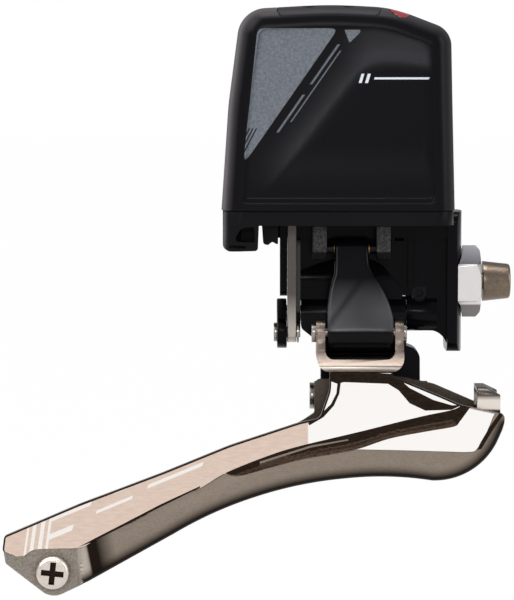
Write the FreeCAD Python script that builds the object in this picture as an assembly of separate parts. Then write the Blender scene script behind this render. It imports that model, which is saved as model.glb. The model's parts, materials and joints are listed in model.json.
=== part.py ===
import FreeCAD, Part
import math
import os

# Front derailleur of a road bicycle, in millimetres.
# +X is forward, +Y is inboard, +Z is up. All pivots run along X, so their places are (Y, Z).
# The origin is the crest of the convex mounting face, on the axis of the clamp bolt.

V = FreeCAD.Vector
os.makedirs("parts", exist_ok=True)
parts = {}

# Fits and gaps
fit = 0.05
open_fit = 0.08
slack = 0.3

# Linkage: two equal links carry the cage, and a rod turns the inner one
link_length = 20.5
link_lean = 9.0
outer_pivot = (-12.0, 8.9)
inner_pivot = (-2.8, -7.7)
lever_length = 9.1
lever_angle = 205.7
rod_length = 37.0

# Pins and bushes
pin_radius = 1.5
upper_pin_radius = 1.25
bush_wall = 0.5
shaft_radius = 1.95
shaft_bush_wall = 0.8
lever_pin_radius = 1.3
rivet_head_radius = 2.4
rivet_head_height = 1.1

# Mounting face, clamp washer and clamp bolt
saddle_radius = 20.0
flange_half_width = 7.5
flange_thickness = 3.9
flange_top = 17.6
flange_bottom = -17.0
washer_across_corners = 18.0
washer_outer_x = 4.5
washer_hole_radius = 2.6
bolt_thread_radius = 2.5
bolt_shank_radius = 2.15
bolt_head_start = 5.3
bolt_head_length = 6.75
bolt_head_radius = 4.98
bolt_head_end_radius = 4.25
bolt_reach = 7.3
bolt_socket = 5.0
bolt_socket_depth = 3.2

# Main body
body_top = 14.7
top_plate_thickness = 3.5
top_plate_front = -7.0
top_plate_back = 6.5
top_plate_left = -47.0
web_left = -13.4
web_front = -5.0
web_back = 4.5
left_plate_x = -43.0
left_plate_thickness = 3.0
pivot_boss_radius = 4.4
right_boss_x = -13.8
right_boss_length = 7.5
hump_front = -5.5
hump_back = -1.0
hump_bottom = -4.4
hump_top = 6.4
curtain_front = -3.4
side_wall_left = -45.0
side_wall_front = 1.6
side_wall_bottom = -5.5
block_width = 3.4
left_block_x = -37.1
right_block_x = -21.6
support_x = -10.6
support_z = -2.7
support_radius = 1.9
support_length = 10.5
shim_thickness = 0.35

# Links
outer_link_left = -31.9
outer_link_right = -23.3
outer_barrel_radius = 2.4
lower_barrel_radius = 5.0
outer_link_foot_left = -33.6
outer_link_foot_right = -17.6
side_play = 0.15
inner_link_left = left_plate_x + left_plate_thickness + side_play
inner_link_right = right_boss_x - side_play
inner_barrel_radius = 4.2
inner_foot_left = -35.0
inner_foot_right = -10.6
inner_foot_radius = 3.4

# Drive rod, lever and crank
rod_x = -43.3
rod_thickness = 2.2
rod_half_width = 2.5
lever_thickness = 2.4
lever_hub_radius = 3.6
lever_end_radius = 3.9
crank_thickness = 2.4
crank_hub_radius = 4.2
crank_end_radius = 2.8
crank_pin_radius = 1.5

# Housing
housing_right = -2.9
housing_width = 56.4
housing_front = -22.5
housing_back = 8.0
housing_top = 68.1
seam_height = 18.7
housing_wall = 1.5
front_round = 5.0
panel_sink = 0.4
back_round = 4.0
base_inset = 0.3
base_floor = 1.6
gasket_thickness = 0.3
gasket_width = 0.9
screw_corner_x = 3.9
screw_corner_y = 4.2
screw_boss_radius = 2.9

# Lid on the housing
lid_left = -45.8
lid_right = -21.1
lid_front = -21.5
lid_back = 2.0
lid_thickness = 1.2
lid_gap = 0.1
lid_corner = 1.6
lid_lip_depth = 3.4
lid_gasket_thickness = 0.3
lid_screw_y = -18.0
lid_ledge_depth = 4.2
lid_boss_depth = 6.5
lid_seat_depth = 3.9
lid_head_depth = 3.1
lid_head_sunk = 2.0
lid_screw_places = (-38.1, -28.8)

# Power button
button_x = -16.4
button_y = -18.5
button_radius = 2.3
button_sunk = 1.5
button_height = 3.5
button_flange = 0.5
button_travel = 0.6

# Gear train and motor
module = 0.5
pressure_angle = 25.0
addendum = 0.4
dedendum = 0.5
backlash = 0.08
output_teeth = 34
wheel_teeth = 30
pinion_teeth = 12
train_angles = (110.3, 113.6, 19.0)
output_gear_x = -35.8
output_gear_width = 3.0
wheel_width = 1.5
wheel_gap = 0.4
gear_pin_radius = 1.0
output_shaft_radius = 2.5
frame_left_x = -37.6
frame_right_x = -27.2
frame_thickness = 1.2
frame_front = -19.5
frame_back = 5.5
frame_top = 60.5
can_radius = 7.0
can_length = 17.0
can_wall = 0.8
end_cap_length = 2.0
motor_shaft_radius = 0.75
armature_radius = 4.5
armature_length = 12.0

# Circuit board and wire socket
board_thickness = 0.8
board_left = -48.0
board_right = -12.0
board_front = -20.2
board_back = 3.5
switch_size = 2.6
switch_height = 0.7
socket_x = -16.0
socket_z = 30.0
socket_bore_radius = 2.0
socket_radius = 3.4
socket_depth = 6.0

# Cage
plate_outer_face = -25.0
plate_thickness = 1.6
panel_relief = 0.4
inner_plate_face = -12.3
inner_plate_thickness = 1.3
inner_ear_thickness = 1.3
bracket_thickness = 1.5
bracket_ear_thickness = 2.1
bracket_gap_left = 0.6
bracket_gap_right = 0.4
bracket_left = outer_link_foot_left - bracket_gap_left - bracket_ear_thickness
bracket_right = outer_link_foot_right + bracket_gap_right + bracket_ear_thickness
bracket_bend = 3.6
bracket_ear_radius = 3.4
tail_screw_x = -100.1
tail_screw_z = -68.7
tail_screw_radius = 2.0
tail_head_radius = 4.0
tail_head_height = 2.2
tail_spacer_radius = 3.4


def polar(start, length, angle):
    turn = math.radians(angle)
    return (start[0] + length * math.cos(turn), start[1] + length * math.sin(turn))


# Places worked out from the linkage
outer_foot = polar(outer_pivot, link_length, -90.0 - link_lean)
inner_foot = polar(inner_pivot, link_length, -90.0 - link_lean)
lever_end = polar(inner_pivot, lever_length, lever_angle)
crank_centre = (inner_pivot[0], inner_pivot[1] + rod_length)
crank_end = polar(crank_centre, lever_length, lever_angle)
pinion_reach = module * (output_teeth + pinion_teeth) / 2
wheel_reach = module * (wheel_teeth + pinion_teeth) / 2
second_gear = polar(crank_centre, pinion_reach, train_angles[0])
first_gear = polar(second_gear, wheel_reach, train_angles[1])
motor_centre = polar(first_gear, wheel_reach, train_angles[2])

housing_left = housing_right - housing_width
lid_lip_bottom = housing_top - lid_lip_depth
lid_ledge_bottom = housing_top - lid_ledge_depth
lid_boss_bottom = housing_top - lid_boss_depth
lid_seat = housing_top - lid_seat_depth
lid_head_bottom = housing_top - lid_head_depth
button_top = housing_top - button_sunk
button_bottom = button_top - button_height
base_bottom = body_top + shim_thickness
base_top = seam_height - gasket_thickness
floor_top = base_bottom + base_floor
board_bottom = frame_top
board_top = board_bottom + board_thickness
lever_x = rod_x - 0.1 - lever_thickness
crank_x = rod_x + rod_thickness + slack
plate_inner_face = plate_outer_face + plate_thickness
wheel_two_x = output_gear_x + output_gear_width + wheel_gap
wheel_one_x = wheel_two_x + wheel_width + wheel_gap
inner_left_ear = inner_foot_left - slack - inner_ear_thickness
inner_right_ear = inner_foot_right + slack


def box(x0, x1, y0, y1, z0, z1):
    return Part.makeBox(x1 - x0, y1 - y0, z1 - z0, V(x0, y0, z0))


def bar_x(x0, x1, at, radius):
    return Part.makeCylinder(radius, x1 - x0, V(x0, at[0], at[1]), V(1, 0, 0))


def bar_y(y0, y1, x, z, radius):
    return Part.makeCylinder(radius, y1 - y0, V(x, y0, z), V(0, 1, 0))


def bar_z(z0, z1, x, y, radius):
    return Part.makeCylinder(radius, z1 - z0, V(x, y, z0), V(0, 0, 1))


def tube_x(x0, x1, at, outer, inner):
    return bar_x(x0, x1, at, outer).cut(bar_x(x0 - 1, x1 + 1, at, inner))


def rounded_face(points, place):
    # A closed outline. Each point is (a, b, radius), and its corner is rounded by an arc.
    corners = []
    count = len(points)
    for i in range(count):
        here = V(points[i][0], points[i][1], 0)
        back = V(points[i - 1][0], points[i - 1][1], 0) - here
        ahead = V(points[(i + 1) % count][0], points[(i + 1) % count][1], 0) - here
        radius = points[i][2]
        turn = back.getAngle(ahead)
        if radius <= 0 or math.pi - turn < 0.002:
            corners.append((here, None, here))
            continue
        back.normalize()
        ahead.normalize()
        reach = radius / math.tan(turn / 2)
        middle = back + ahead
        middle.normalize()
        inside = here + middle * (radius / math.sin(turn / 2) - radius)
        corners.append((here + back * reach, inside, here + ahead * reach))
    edges = []
    for i in range(count):
        first, inside, last = corners[i]
        if inside is not None:
            edges.append(Part.Arc(place(first), place(inside), place(last)).toShape())
        start = corners[(i + 1) % count][0]
        if last.distanceToPoint(start) > 1e-5:
            edges.append(Part.makeLine(place(last), place(start)))
    return Part.Face(Part.Wire(edges))


def prism_x(points, x0, x1):
    return rounded_face(points, lambda p: V(x0, p.x, p.y)).extrude(V(x1 - x0, 0, 0))


def prism_y(points, y0, y1):
    return rounded_face(points, lambda p: V(p.x, y0, p.y)).extrude(V(0, y1 - y0, 0))


def prism_z(points, z0, z1):
    return rounded_face(points, lambda p: V(p.x, p.y, z0)).extrude(V(0, 0, z1 - z0))


def arm_x(x0, x1, one, radius_one, two, radius_two):
    # A flat arm across X whose outline wraps two circles
    away = math.atan2(two[1] - one[1], two[0] - one[0])
    span = math.hypot(two[1] - one[1], two[0] - one[0])
    tilt = math.acos((radius_one - radius_two) / span)

    def on(centre, radius, angle):
        return V(x0, centre[0] + radius * math.cos(angle), centre[1] + radius * math.sin(angle))

    far = Part.Arc(
        on(two, radius_two, away + tilt), on(two, radius_two, away), on(two, radius_two, away - tilt))
    near = Part.Arc(
        on(one, radius_one, away - tilt), on(one, radius_one, away + math.pi),
        on(one, radius_one, away + tilt))
    edges = [
        Part.makeLine(on(one, radius_one, away + tilt), on(two, radius_two, away + tilt)),
        far.toShape(),
        Part.makeLine(on(two, radius_two, away - tilt), on(one, radius_one, away - tilt)),
        near.toShape(),
    ]
    return Part.Face(Part.Wire(edges)).extrude(V(x1 - x0, 0, 0))


def join(*shapes):
    whole = shapes[0].multiFuse(list(shapes[1:]))
    return whole.removeSplitter()


def flange():
    # Upright plate whose outer face is part of a cylinder, to suit the tab on the frame
    plate = box(-flange_thickness, 1.0, -flange_half_width, flange_half_width, flange_bottom, flange_top)
    saddle = bar_z(flange_bottom - 1, flange_top + 1, -saddle_radius, 0, saddle_radius)
    plate = plate.common(saddle)
    corners = []
    for edge in plate.Edges:
        ends = [vertex.Point for vertex in edge.Vertexes]
        along_x = abs(ends[0].y - ends[1].y) < 1e-6 and abs(ends[0].z - ends[1].z) < 1e-6
        if along_x:
            corners.append(edge)
    return plate.makeFillet(3.0, corners)


def main_body():
    web_outline = [
        (web_left, body_top, 0),
        (web_left, -1.0, 1.5),
        (-12.4, -4.0, 1.0),
        (-12.4, -11.8, 1.0),
        (-4.6, -11.8, 4.5),
        (-3.6, flange_bottom + 0.6, 0),
        (-1.5, flange_bottom + 1.5, 0),
        (-1.5, body_top, 0),
    ]
    web = prism_y(web_outline, web_front, web_back)
    rib = prism_y([
        (-11.9, 13.0, 0), (-11.9, -0.5, 0), (-11.1, -0.5, 0), (-11.1, 13.0, 0)],
        web_front - 0.5, web_front + 1)
    plate_bottom = body_top - top_plate_thickness
    top_plate = prism_z([
        (top_plate_left, top_plate_front, 2.0), (-3.0, top_plate_front, 0),
        (-3.0, top_plate_back, 0), (top_plate_left, top_plate_back, 3.0)], plate_bottom, body_top)
    left_plate = arm_x(
        left_plate_x, left_plate_x + left_plate_thickness,
        inner_pivot, pivot_boss_radius, (-0.4, plate_bottom), body_top - plate_bottom)
    right_boss = bar_x(right_boss_x, right_boss_x + right_boss_length, inner_pivot, pivot_boss_radius)
    curtain = prism_x([
        (curtain_front, body_top - 1, 0), (curtain_front, hump_bottom, 0),
        (hump_back, hump_bottom, 1.0), (hump_back, body_top - 1, 0)],
        left_plate_x + 1, web_left + 1)
    bulge = prism_x([
        (curtain_front + 1, hump_top + 1, 0), (curtain_front, hump_top, 1.0), (hump_front, hump_top - 5.0, 4.0),
        (hump_front, hump_bottom, 0), (curtain_front + 1, hump_bottom, 0)], left_plate_x + 1, web_left + 1)
    arch = prism_y([
        (left_plate_x + 1, hump_bottom - 1, 0), (left_plate_x + 1, hump_top - 4.0, 1.5),
        (left_plate_x + 13, hump_top, 16.0), (web_left - 7, hump_top - 1.0, 7.0),
        (web_left - 1.4, hump_top - 8.6, 3.0), (web_left - 1.4, hump_bottom - 1, 0)],
        hump_front - 1, hump_back)
    hump = join(curtain, bulge.common(arch))
    hump = hump.cut(bar_x(inner_link_left, inner_link_right, inner_pivot, inner_barrel_radius + 0.3))
    side_wall = prism_x([
        (side_wall_front, body_top, 0), (side_wall_front, side_wall_bottom, 1.5),
        (top_plate_back - 1, side_wall_bottom + 3, 2.0), (top_plate_back - 1, body_top, 0)],
        side_wall_left, left_plate_x + 0.5)
    support_boss = bar_y(web_back - 1, web_back + 1.5, support_x, support_z, support_radius + 1.3)
    body = join(flange(), web, rib, top_plate, left_plate, right_boss, hump, side_wall, support_boss)
    bush_radius = shaft_radius + shaft_bush_wall
    shaft_right = right_boss_x + right_boss_length - 1.5
    body = body.cut(bar_x(left_plate_x - 1, left_plate_x + left_plate_thickness + 1, inner_pivot, bush_radius))
    body = body.cut(bar_x(right_boss_x - 1, shaft_right, inner_pivot, bush_radius))
    body = body.cut(bar_x(-bolt_reach - 0.6, 1, (0, 0), bolt_thread_radius + fit))
    body = body.cut(bar_y(web_front - 2, web_back + 2, support_x, support_z, support_radius + fit))
    body = body.cut(box(
        -flange_thickness - 1, housing_right - base_inset + slack, -10, 10, body_top, flange_top + 1))
    for x, y in body_screw_places():
        body = body.cut(bar_z(plate_bottom - 1, body_top + 1, x, y, 1.1))
    return body


def body_screw_places():
    return [(x, y) for x in (-31.8, -15.5) for y in (-3.5, 4.0)]


def pivot_block(x0):
    # Upright block that carries one end of the upper outer pin
    ay, az = outer_pivot
    block = prism_x([
        (ay - 3.2, body_top, 0), (ay - 3.2, az - 0.6, 1.0), (ay - 1.2, az - 2.6, 1.2),
        (ay + 1.8, az - 3.0, 1.5), (top_plate_front, body_top - 3.0, 0), (top_plate_front, body_top, 0)],
        x0, x0 + block_width)
    return block.cut(bar_x(x0 - 1, x0 + block_width + 1, outer_pivot, upper_pin_radius))


def seat_shim():
    sheet = box(-39.4, -34.2, outer_pivot[0] - 2.8, top_plate_front + 1, body_top, base_bottom)
    main = box(-39.4, -6.0, top_plate_front, top_plate_back - 0.5, body_top, base_bottom)
    shim = join(sheet, main)
    for x, y in body_screw_places():
        shim = shim.cut(bar_z(body_top - 1, base_bottom + 1, x, y, 1.1))
    return shim


def housing_block(inset):
    # Domed block of the housing above its seam, drawn in by inset all round
    left = housing_left + inset
    right = housing_right - inset
    top = housing_top - inset
    width = right - left
    outline = [
        (left, seam_height, 0),
        (left + 1.7, seam_height + 25.3, 60.0),
        (left + 4.7, top - 1.2, 7.0 - inset),
        (left + 0.462 * width, top, 2.1 * width),
        (right - 0.27 * width, top - 0.8, 0.53 * width),
        (right - 1.1, top - 6.2, 5.5 - inset * 0.8),
        (right - 0.7, seam_height + 26.3, 60.0),
        (right, seam_height, 0),
    ]
    front = housing_front + inset
    back = housing_back - inset
    block = prism_y(outline, front, back)
    for face_y, radius in ((front, front_round), (back, back_round)):
        rim = [edge for edge in block.Edges
               if all(abs(vertex.Point.y - face_y) < 1e-6 for vertex in edge.Vertexes)
               and not all(abs(vertex.Point.z - seam_height) < 1e-6 for vertex in edge.Vertexes)]
        block = block.makeFillet(radius - inset * 0.8, rim)
    return block


def base_slab(inset, z0, z1):
    front = housing_front + base_inset + inset
    back = housing_back - base_inset - inset
    left = housing_left + base_inset + inset
    right = housing_right - base_inset - inset
    corner = max(front_round - base_inset - inset, 0.8)
    rear_corner = max(back_round - base_inset - inset, 0.8)
    return prism_z([
        (left, front, corner), (right, front, corner), (right, back, rear_corner),
        (left, back, rear_corner)], z0, z1)


def housing_screw_places():
    xs = (housing_left + screw_corner_x, housing_right - screw_corner_x)
    ys = (housing_front + screw_corner_y, housing_back - screw_corner_y)
    return [(x, y) for x in xs for y in ys]


def rod_slot(grow, z0, z1):
    # Slot for the drive rod, which also swings a little along Y
    swing = lever_length * (1 + math.cos(math.radians(lever_angle)))
    return box(
        rod_x - grow, rod_x + rod_thickness + grow,
        crank_end[0] - swing - rod_half_width - grow, crank_end[0] + rod_half_width + grow, z0, z1)


def housing_base():
    base = base_slab(0, base_bottom, base_top)
    base = base.cut(base_slab(housing_wall, floor_top, base_top + 1))
    left = housing_left + base_inset
    front = housing_front + base_inset
    ear = prism_y([
        (left, base_bottom + 1, 0), (left, 9.6, 1.5), (left + 1.5, 8.8, 1.5), (left + 8.5, 9.0, 0.8),
        (left + 8.8, base_bottom + 1, 0)], front, -7.5)
    corner = prism_z([
        (left, front, front_round - base_inset), (left + 12, front, 0), (left + 12, -7, 0), (left, -7, 0)],
        base_bottom - 10, base_bottom + 2)
    pocket = prism_y([
        (left + 2.6, 11.2, 0.8), (left + 4.4, 14.4, 1.6), (left + 7.6, 14.9, 0.5), (left + 7.8, 11.0, 0.5)],
        front - 1, front + 5.5)
    slot = prism_y([
        (left + 1.6, 10.3, 0.4), (left + 1.6, 9.6, 0.3), (left + 5.6, 9.6, 0.3), (left + 5.6, 10.3, 0.4)],
        front - 1, front + 1.6)
    bump = prism_y([
        (left + 9.4, base_bottom + 1, 0), (left + 9.8, 10.4, 0.8), (left + 11.0, 10.2, 0.4),
        (left + 12.0, 11.0, 0.4), (left + 13.4, 10.2, 0.3), (left + 13.4, base_bottom + 1, 0)], -18.6, -8.0)
    base = join(base, ear.common(corner).cut(pocket).cut(slot), bump)
    base = base.cut(rod_slot(0.9, base_bottom - 8, floor_top + 1))
    for x, y in housing_screw_places():
        base = join(base, bar_z(base_bottom + 0.5, base_top, x, y, screw_boss_radius).common(
            base_slab(0.5, base_bottom, base_top)))
        base = base.cut(bar_z(base_bottom - 1, base_top + 1, x, y, 1.1))
        base = base.cut(bar_z(base_bottom - 8, base_bottom + 1.3, x, y, 1.8))
    for x, y in body_screw_places():
        base = base.cut(bar_z(base_bottom - 1, floor_top + 1, x, y, 1.1))
    return base


def housing_gasket():
    ring = base_slab(0.4, base_top, seam_height)
    return ring.cut(base_slab(0.4 + gasket_width, base_top - 1, seam_height + 1))


def lid_region(grow):
    left, right = lid_left - grow, lid_right + grow
    front, back = lid_front - grow, lid_back + grow
    corner = lid_corner + grow
    return prism_z([
        (left, front, corner), (right, front, corner), (right, back, corner), (left, back, corner)],
        lid_lip_bottom - grow, housing_top + 5)


def button_hole_radius():
    return button_radius + 0.1


def front_panel():
    # Region of the flat panel that is sunk into the front of the housing
    left = housing_left + front_round
    right = housing_right - front_round - 1.1
    top = housing_top - 5.3
    return prism_y([
        (left, seam_height + 2.2, 1.0), (left + 3.0, top - 0.2, 3.5), (right - 12.7, top, 20.0),
        (right - 1.0, top - 3.2, 3.0), (right, seam_height + 2.2, 1.0)],
        housing_front - 1, housing_front + panel_sink)


def housing_cap():
    outer = housing_block(0).cut(front_panel())
    inner = housing_block(housing_wall)
    cap = outer.cut(inner)
    pocket_depth = lid_thickness + lid_gasket_thickness
    ledge = housing_block(pocket_depth - 0.2).common(lid_region(2.0))
    ledge = ledge.cut(box(housing_left, 0, housing_front, housing_back, 0, lid_ledge_bottom))
    cap = join(cap, ledge)
    pocket = lid_region(lid_gap).common(outer.cut(housing_block(pocket_depth)))
    for x in lid_screw_places:
        boss = bar_z(lid_boss_bottom, lid_head_bottom + 0.5, x, lid_screw_y, 2.6)
        cap = join(cap, boss.common(housing_block(1.0)))
    cap = cap.cut(pocket)
    cap = cap.cut(box(lid_left + 3, lid_right - 3, lid_screw_y + 5, lid_back - 3, lid_boss_bottom, housing_top + 5))
    for x in lid_screw_places:
        cap = cap.cut(bar_z(lid_seat, housing_top + 5, x, lid_screw_y, 2.7))
        cap = cap.cut(bar_z(lid_boss_bottom, lid_head_bottom, x, lid_screw_y, 0.9))
    cap = cap.cut(bar_z(60, housing_top + 5, button_x, button_y, button_hole_radius()))
    cap = cap.cut(bar_y(housing_back - 5, housing_back + 1, socket_x, socket_z, socket_radius))
    for x, y in housing_screw_places():
        boss = bar_z(seam_height, seam_height + 11, x, y, screw_boss_radius).common(housing_block(0.5))
        cap = join(cap, boss)
        cap = cap.cut(bar_z(seam_height - 1, seam_height + 9, x, y, 1.1))
    wedge_left = housing_right - 1.3
    wedge = prism_y([
        (wedge_left, seam_height, 0), (housing_right + 2.6, seam_height, 0),
        (housing_right, seam_height + 6.5, 0), (wedge_left, seam_height + 6.5, 0)],
                    -4.0, 3.5)
    return join(cap, wedge.cut(inner))


def top_lid():
    shell = housing_block(0).cut(housing_block(lid_thickness))
    lid = shell.common(lid_region(0))
    for x in lid_screw_places:
        pad = bar_z(lid_seat, housing_top + 5, x, lid_screw_y, 2.6).common(housing_block(0))
        lid = join(lid, pad)
        lid = lid.cut(bar_z(lid_head_bottom, housing_top + 5, x, lid_screw_y, 1.8))
        lid = lid.cut(bar_z(lid_boss_bottom, housing_top + 5, x, lid_screw_y, 0.9))
    return lid


def lid_gasket():
    shell = housing_block(lid_thickness).cut(housing_block(lid_thickness + lid_gasket_thickness))
    inner = box(lid_left + 2, lid_right - 2, lid_screw_y + 4, lid_back - 2, 40, housing_top + 5)
    ring = box(lid_left + 0.5, lid_right - 0.5, lid_screw_y + 3, lid_back - 0.5, 40, housing_top + 5)
    return shell.common(ring.cut(inner))


def lid_screws():
    screws = []
    for x in lid_screw_places:
        head = bar_z(lid_head_bottom, housing_top - lid_head_sunk, x, lid_screw_y, 1.7)
        screw = join(head, bar_z(lid_boss_bottom + 0.2, lid_head_bottom + 0.2, x, lid_screw_y, 0.9))
        screws.append(screw.cut(hex_z(lid_head_bottom + 0.5, housing_top, x, lid_screw_y, 1.5)))
    return Part.makeCompound(screws)


def hex_z(z0, z1, x, y, across_flats):
    radius = across_flats / math.sqrt(3)
    points = [(x + radius * math.cos(math.radians(60 * i)), y + radius * math.sin(math.radians(60 * i)), 0)
              for i in range(6)]
    return prism_z(points, z0, z1)


def housing_screws():
    screws = []
    for x, y in housing_screw_places():
        head = bar_z(base_bottom + 0.2, base_bottom + 1.3, x, y, 1.75)
        screw = join(head, bar_z(base_bottom + 1.0, seam_height + 8, x, y, 1.1))
        screws.append(screw.cut(hex_z(base_bottom, base_bottom + 0.8, x, y, 1.5)))
    return Part.makeCompound(screws)


def body_screws():
    screws = []
    for x, y in body_screw_places():
        head = bar_z(floor_top, floor_top + 1.2, x, y, 1.9)
        screw = join(head, bar_z(body_top - top_plate_thickness, floor_top + 0.5, x, y, 1.1))
        screws.append(screw.cut(hex_z(floor_top + 0.6, floor_top + 2, x, y, 1.5)))
    return Part.makeCompound(screws)


def rod_wiper_seal():
    ring = rod_slot(2.2, floor_top, floor_top + 1.0)
    return ring.cut(rod_slot(0.35, floor_top - 1, floor_top + 2))


def power_button():
    stem = bar_z(button_bottom, housing_top + 5, button_x, button_y, button_radius)
    flange_ring = bar_z(button_bottom, button_bottom + button_flange, button_x, button_y, button_radius + 0.6)
    return join(stem.common(housing_block(0.05)), flange_ring.common(housing_block(housing_wall + slack)))


def gear(teeth, x0, x1, at, bore, phase):
    # Spur gear with involute flanks, and one tooth centred on the angle phase
    pitch = module * teeth / 2
    base = pitch * math.cos(math.radians(pressure_angle))
    tip = pitch + addendum
    root = pitch - dedendum
    half_tooth = (math.pi * module / 2 - backlash) / (2 * pitch)

    def involute(radius):
        roll = math.sqrt(max((radius / base) ** 2 - 1, 0))
        return roll - math.atan(roll)

    flank = [root]
    start = max(base, root + 0.02)
    flank += [start + (tip - start) * i / 4 for i in range(5)]
    widths = [half_tooth + involute(pitch) - involute(max(radius, base)) for radius in flank]
    points = []
    for tooth in range(teeth):
        middle = math.radians(phase) + 2 * math.pi * tooth / teeth
        for radius, width in zip(flank, widths):
            points.append(V(x0, at[0] + radius * math.cos(middle - width), at[1] + radius * math.sin(middle - width)))
        for radius, width in zip(reversed(flank), reversed(widths)):
            points.append(V(x0, at[0] + radius * math.cos(middle + width), at[1] + radius * math.sin(middle + width)))
    points.append(points[0])
    solid = Part.Face(Part.makePolygon(points)).extrude(V(x1 - x0, 0, 0))
    return solid.cut(bar_x(x0 - 1, x1 + 1, at, bore))


def gear_train():
    half_step = 180.0 / pinion_teeth
    output = gear(
        output_teeth, output_gear_x, output_gear_x + output_gear_width, crank_centre,
        output_shaft_radius, train_angles[0])
    two_pinion = gear(
        pinion_teeth, output_gear_x, wheel_two_x + 0.1, second_gear, gear_pin_radius + fit,
        train_angles[0] + 180 + half_step)
    two_wheel = gear(
        wheel_teeth, wheel_two_x, wheel_two_x + wheel_width, second_gear, gear_pin_radius + fit,
        train_angles[1])
    one_pinion = gear(
        pinion_teeth, wheel_two_x, wheel_one_x + 0.1, first_gear, gear_pin_radius + fit,
        train_angles[1] + 180 + half_step)
    one_wheel = gear(
        wheel_teeth, wheel_one_x, wheel_one_x + wheel_width, first_gear, gear_pin_radius + fit,
        train_angles[2])
    pinion = gear(
        pinion_teeth, wheel_one_x, wheel_one_x + wheel_width, motor_centre, motor_shaft_radius,
        train_angles[2] + 180 + half_step)
    return output, join(two_pinion, two_wheel), join(one_pinion, one_wheel), pinion


def gear_frame(x0, holes):
    plate = prism_x([
        (frame_front, floor_top, 1.0), (frame_back, floor_top, 1.0), (frame_back, frame_top, 2.0),
        (frame_front, frame_top, 2.0)], x0, x0 + frame_thickness)
    for at, radius in holes:
        plate = plate.cut(bar_x(x0 - 1, x0 + frame_thickness + 1, at, radius))
    return plate


def standoff_places():
    return [(frame_front + 2.5, floor_top + 5.5), (frame_front + 2.0, 38.0), (frame_back - 1.5, 45.0)]


def gear_frames():
    frame_bush = output_shaft_radius + 1.0
    shared = [(crank_centre, frame_bush), (second_gear, gear_pin_radius), (first_gear, gear_pin_radius)]
    shared += [(place, 0.8) for place in standoff_places()]
    left = gear_frame(frame_left_x, shared)
    right = gear_frame(frame_right_x, shared + [(motor_centre, 1.8)])
    return left, right


def standoffs():
    inner = frame_left_x + frame_thickness
    pieces = []
    for place in standoff_places():
        post = bar_x(inner, frame_right_x, place, 1.5)
        end_left = bar_x(frame_left_x, inner + 1, place, 0.8)
        end_right = bar_x(frame_right_x - 1, frame_right_x + frame_thickness, place, 0.8)
        pieces.append(join(post, end_left, end_right))
    return Part.makeCompound(pieces)


def gear_pins():
    right = frame_right_x + frame_thickness
    return Part.makeCompound([bar_x(frame_left_x, right, at, gear_pin_radius) for at in (second_gear, first_gear)])


def output_bushes():
    frame_bush = output_shaft_radius + 1.0
    bushes = []
    for x0 in (frame_left_x, frame_right_x):
        bushes.append(tube_x(x0, x0 + frame_thickness, crank_centre, frame_bush, output_shaft_radius + fit))
    return Part.makeCompound(bushes)


def motor():
    start = frame_right_x + frame_thickness
    end = start + can_length
    can = bar_x(start, end, motor_centre, can_radius)
    can = can.cut(bar_x(start + 1.0, end + 1, motor_centre, can_radius - can_wall))
    can = can.cut(bar_x(start - 1, end, motor_centre, motor_shaft_radius + fit))
    cap = bar_x(end, end + end_cap_length, motor_centre, can_radius)
    cap = cap.cut(bar_x(end - 1, end + 1.2, motor_centre, motor_shaft_radius + fit))
    rotor_start = start + 2.5
    magnets = []
    ring = tube_x(rotor_start, rotor_start + armature_length, motor_centre, can_radius - can_wall, armature_radius + 0.4)
    my, mz = motor_centre
    for side in (-1, 1):
        half = box(start, end, min(my + side * 1.5, my + side * 8), max(my + side * 1.5, my + side * 8), mz - 8, mz + 8)
        magnets.append(ring.common(half))
    shaft = bar_x(wheel_one_x - 0.3, end + 1.0, motor_centre, motor_shaft_radius)
    armature = tube_x(
        rotor_start, rotor_start + armature_length, motor_centre, armature_radius, motor_shaft_radius)
    for i in range(5):
        at = polar(motor_centre, armature_radius, 72 * i + 20)
        armature = armature.cut(bar_x(rotor_start - 1, rotor_start + armature_length + 1, at, 0.9))
    return can, cap, Part.makeCompound(magnets), shaft, armature


def circuit_board():
    return box(board_left, board_right, board_front, board_back, board_bottom, board_top)


def board_components():
    half = switch_size / 2
    switch = box(button_x - half, button_x + half, button_y - half, button_y + half, board_top, board_top + switch_height)
    plunger_top = button_bottom - button_travel - 0.1
    plunger = bar_z(board_top, plunger_top, button_x, button_y, 0.9)
    chip = box(-33.0, -26.5, -12.0, -5.5, board_top, board_top + 1.0)
    driver = box(-43.0, -38.5, -9.0, -4.5, board_top, board_top + 0.9)
    coil = bar_z(board_top, board_top + 1.8, -43.5, 0.0, 2.0)
    plug = box(-24.0, -19.0, -1.5, 2.5, board_top, board_top + 2.2)
    return Part.makeCompound([join(switch, plunger), chip, driver, coil, plug])


def wire_socket():
    mouth = housing_back
    barrel = bar_y(mouth - socket_depth - 1.2, mouth, socket_x, socket_z, socket_radius)
    barrel = barrel.cut(bar_y(mouth - socket_depth, mouth + 1, socket_x, socket_z, socket_bore_radius))
    return barrel


def wire_grommet():
    inner_face = housing_back - housing_wall
    ring = bar_y(inner_face - 1.6, inner_face, socket_x, socket_z, socket_radius + 1.2)
    return ring.cut(bar_y(inner_face - 3, inner_face + 1, socket_x, socket_z, socket_radius))


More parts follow.
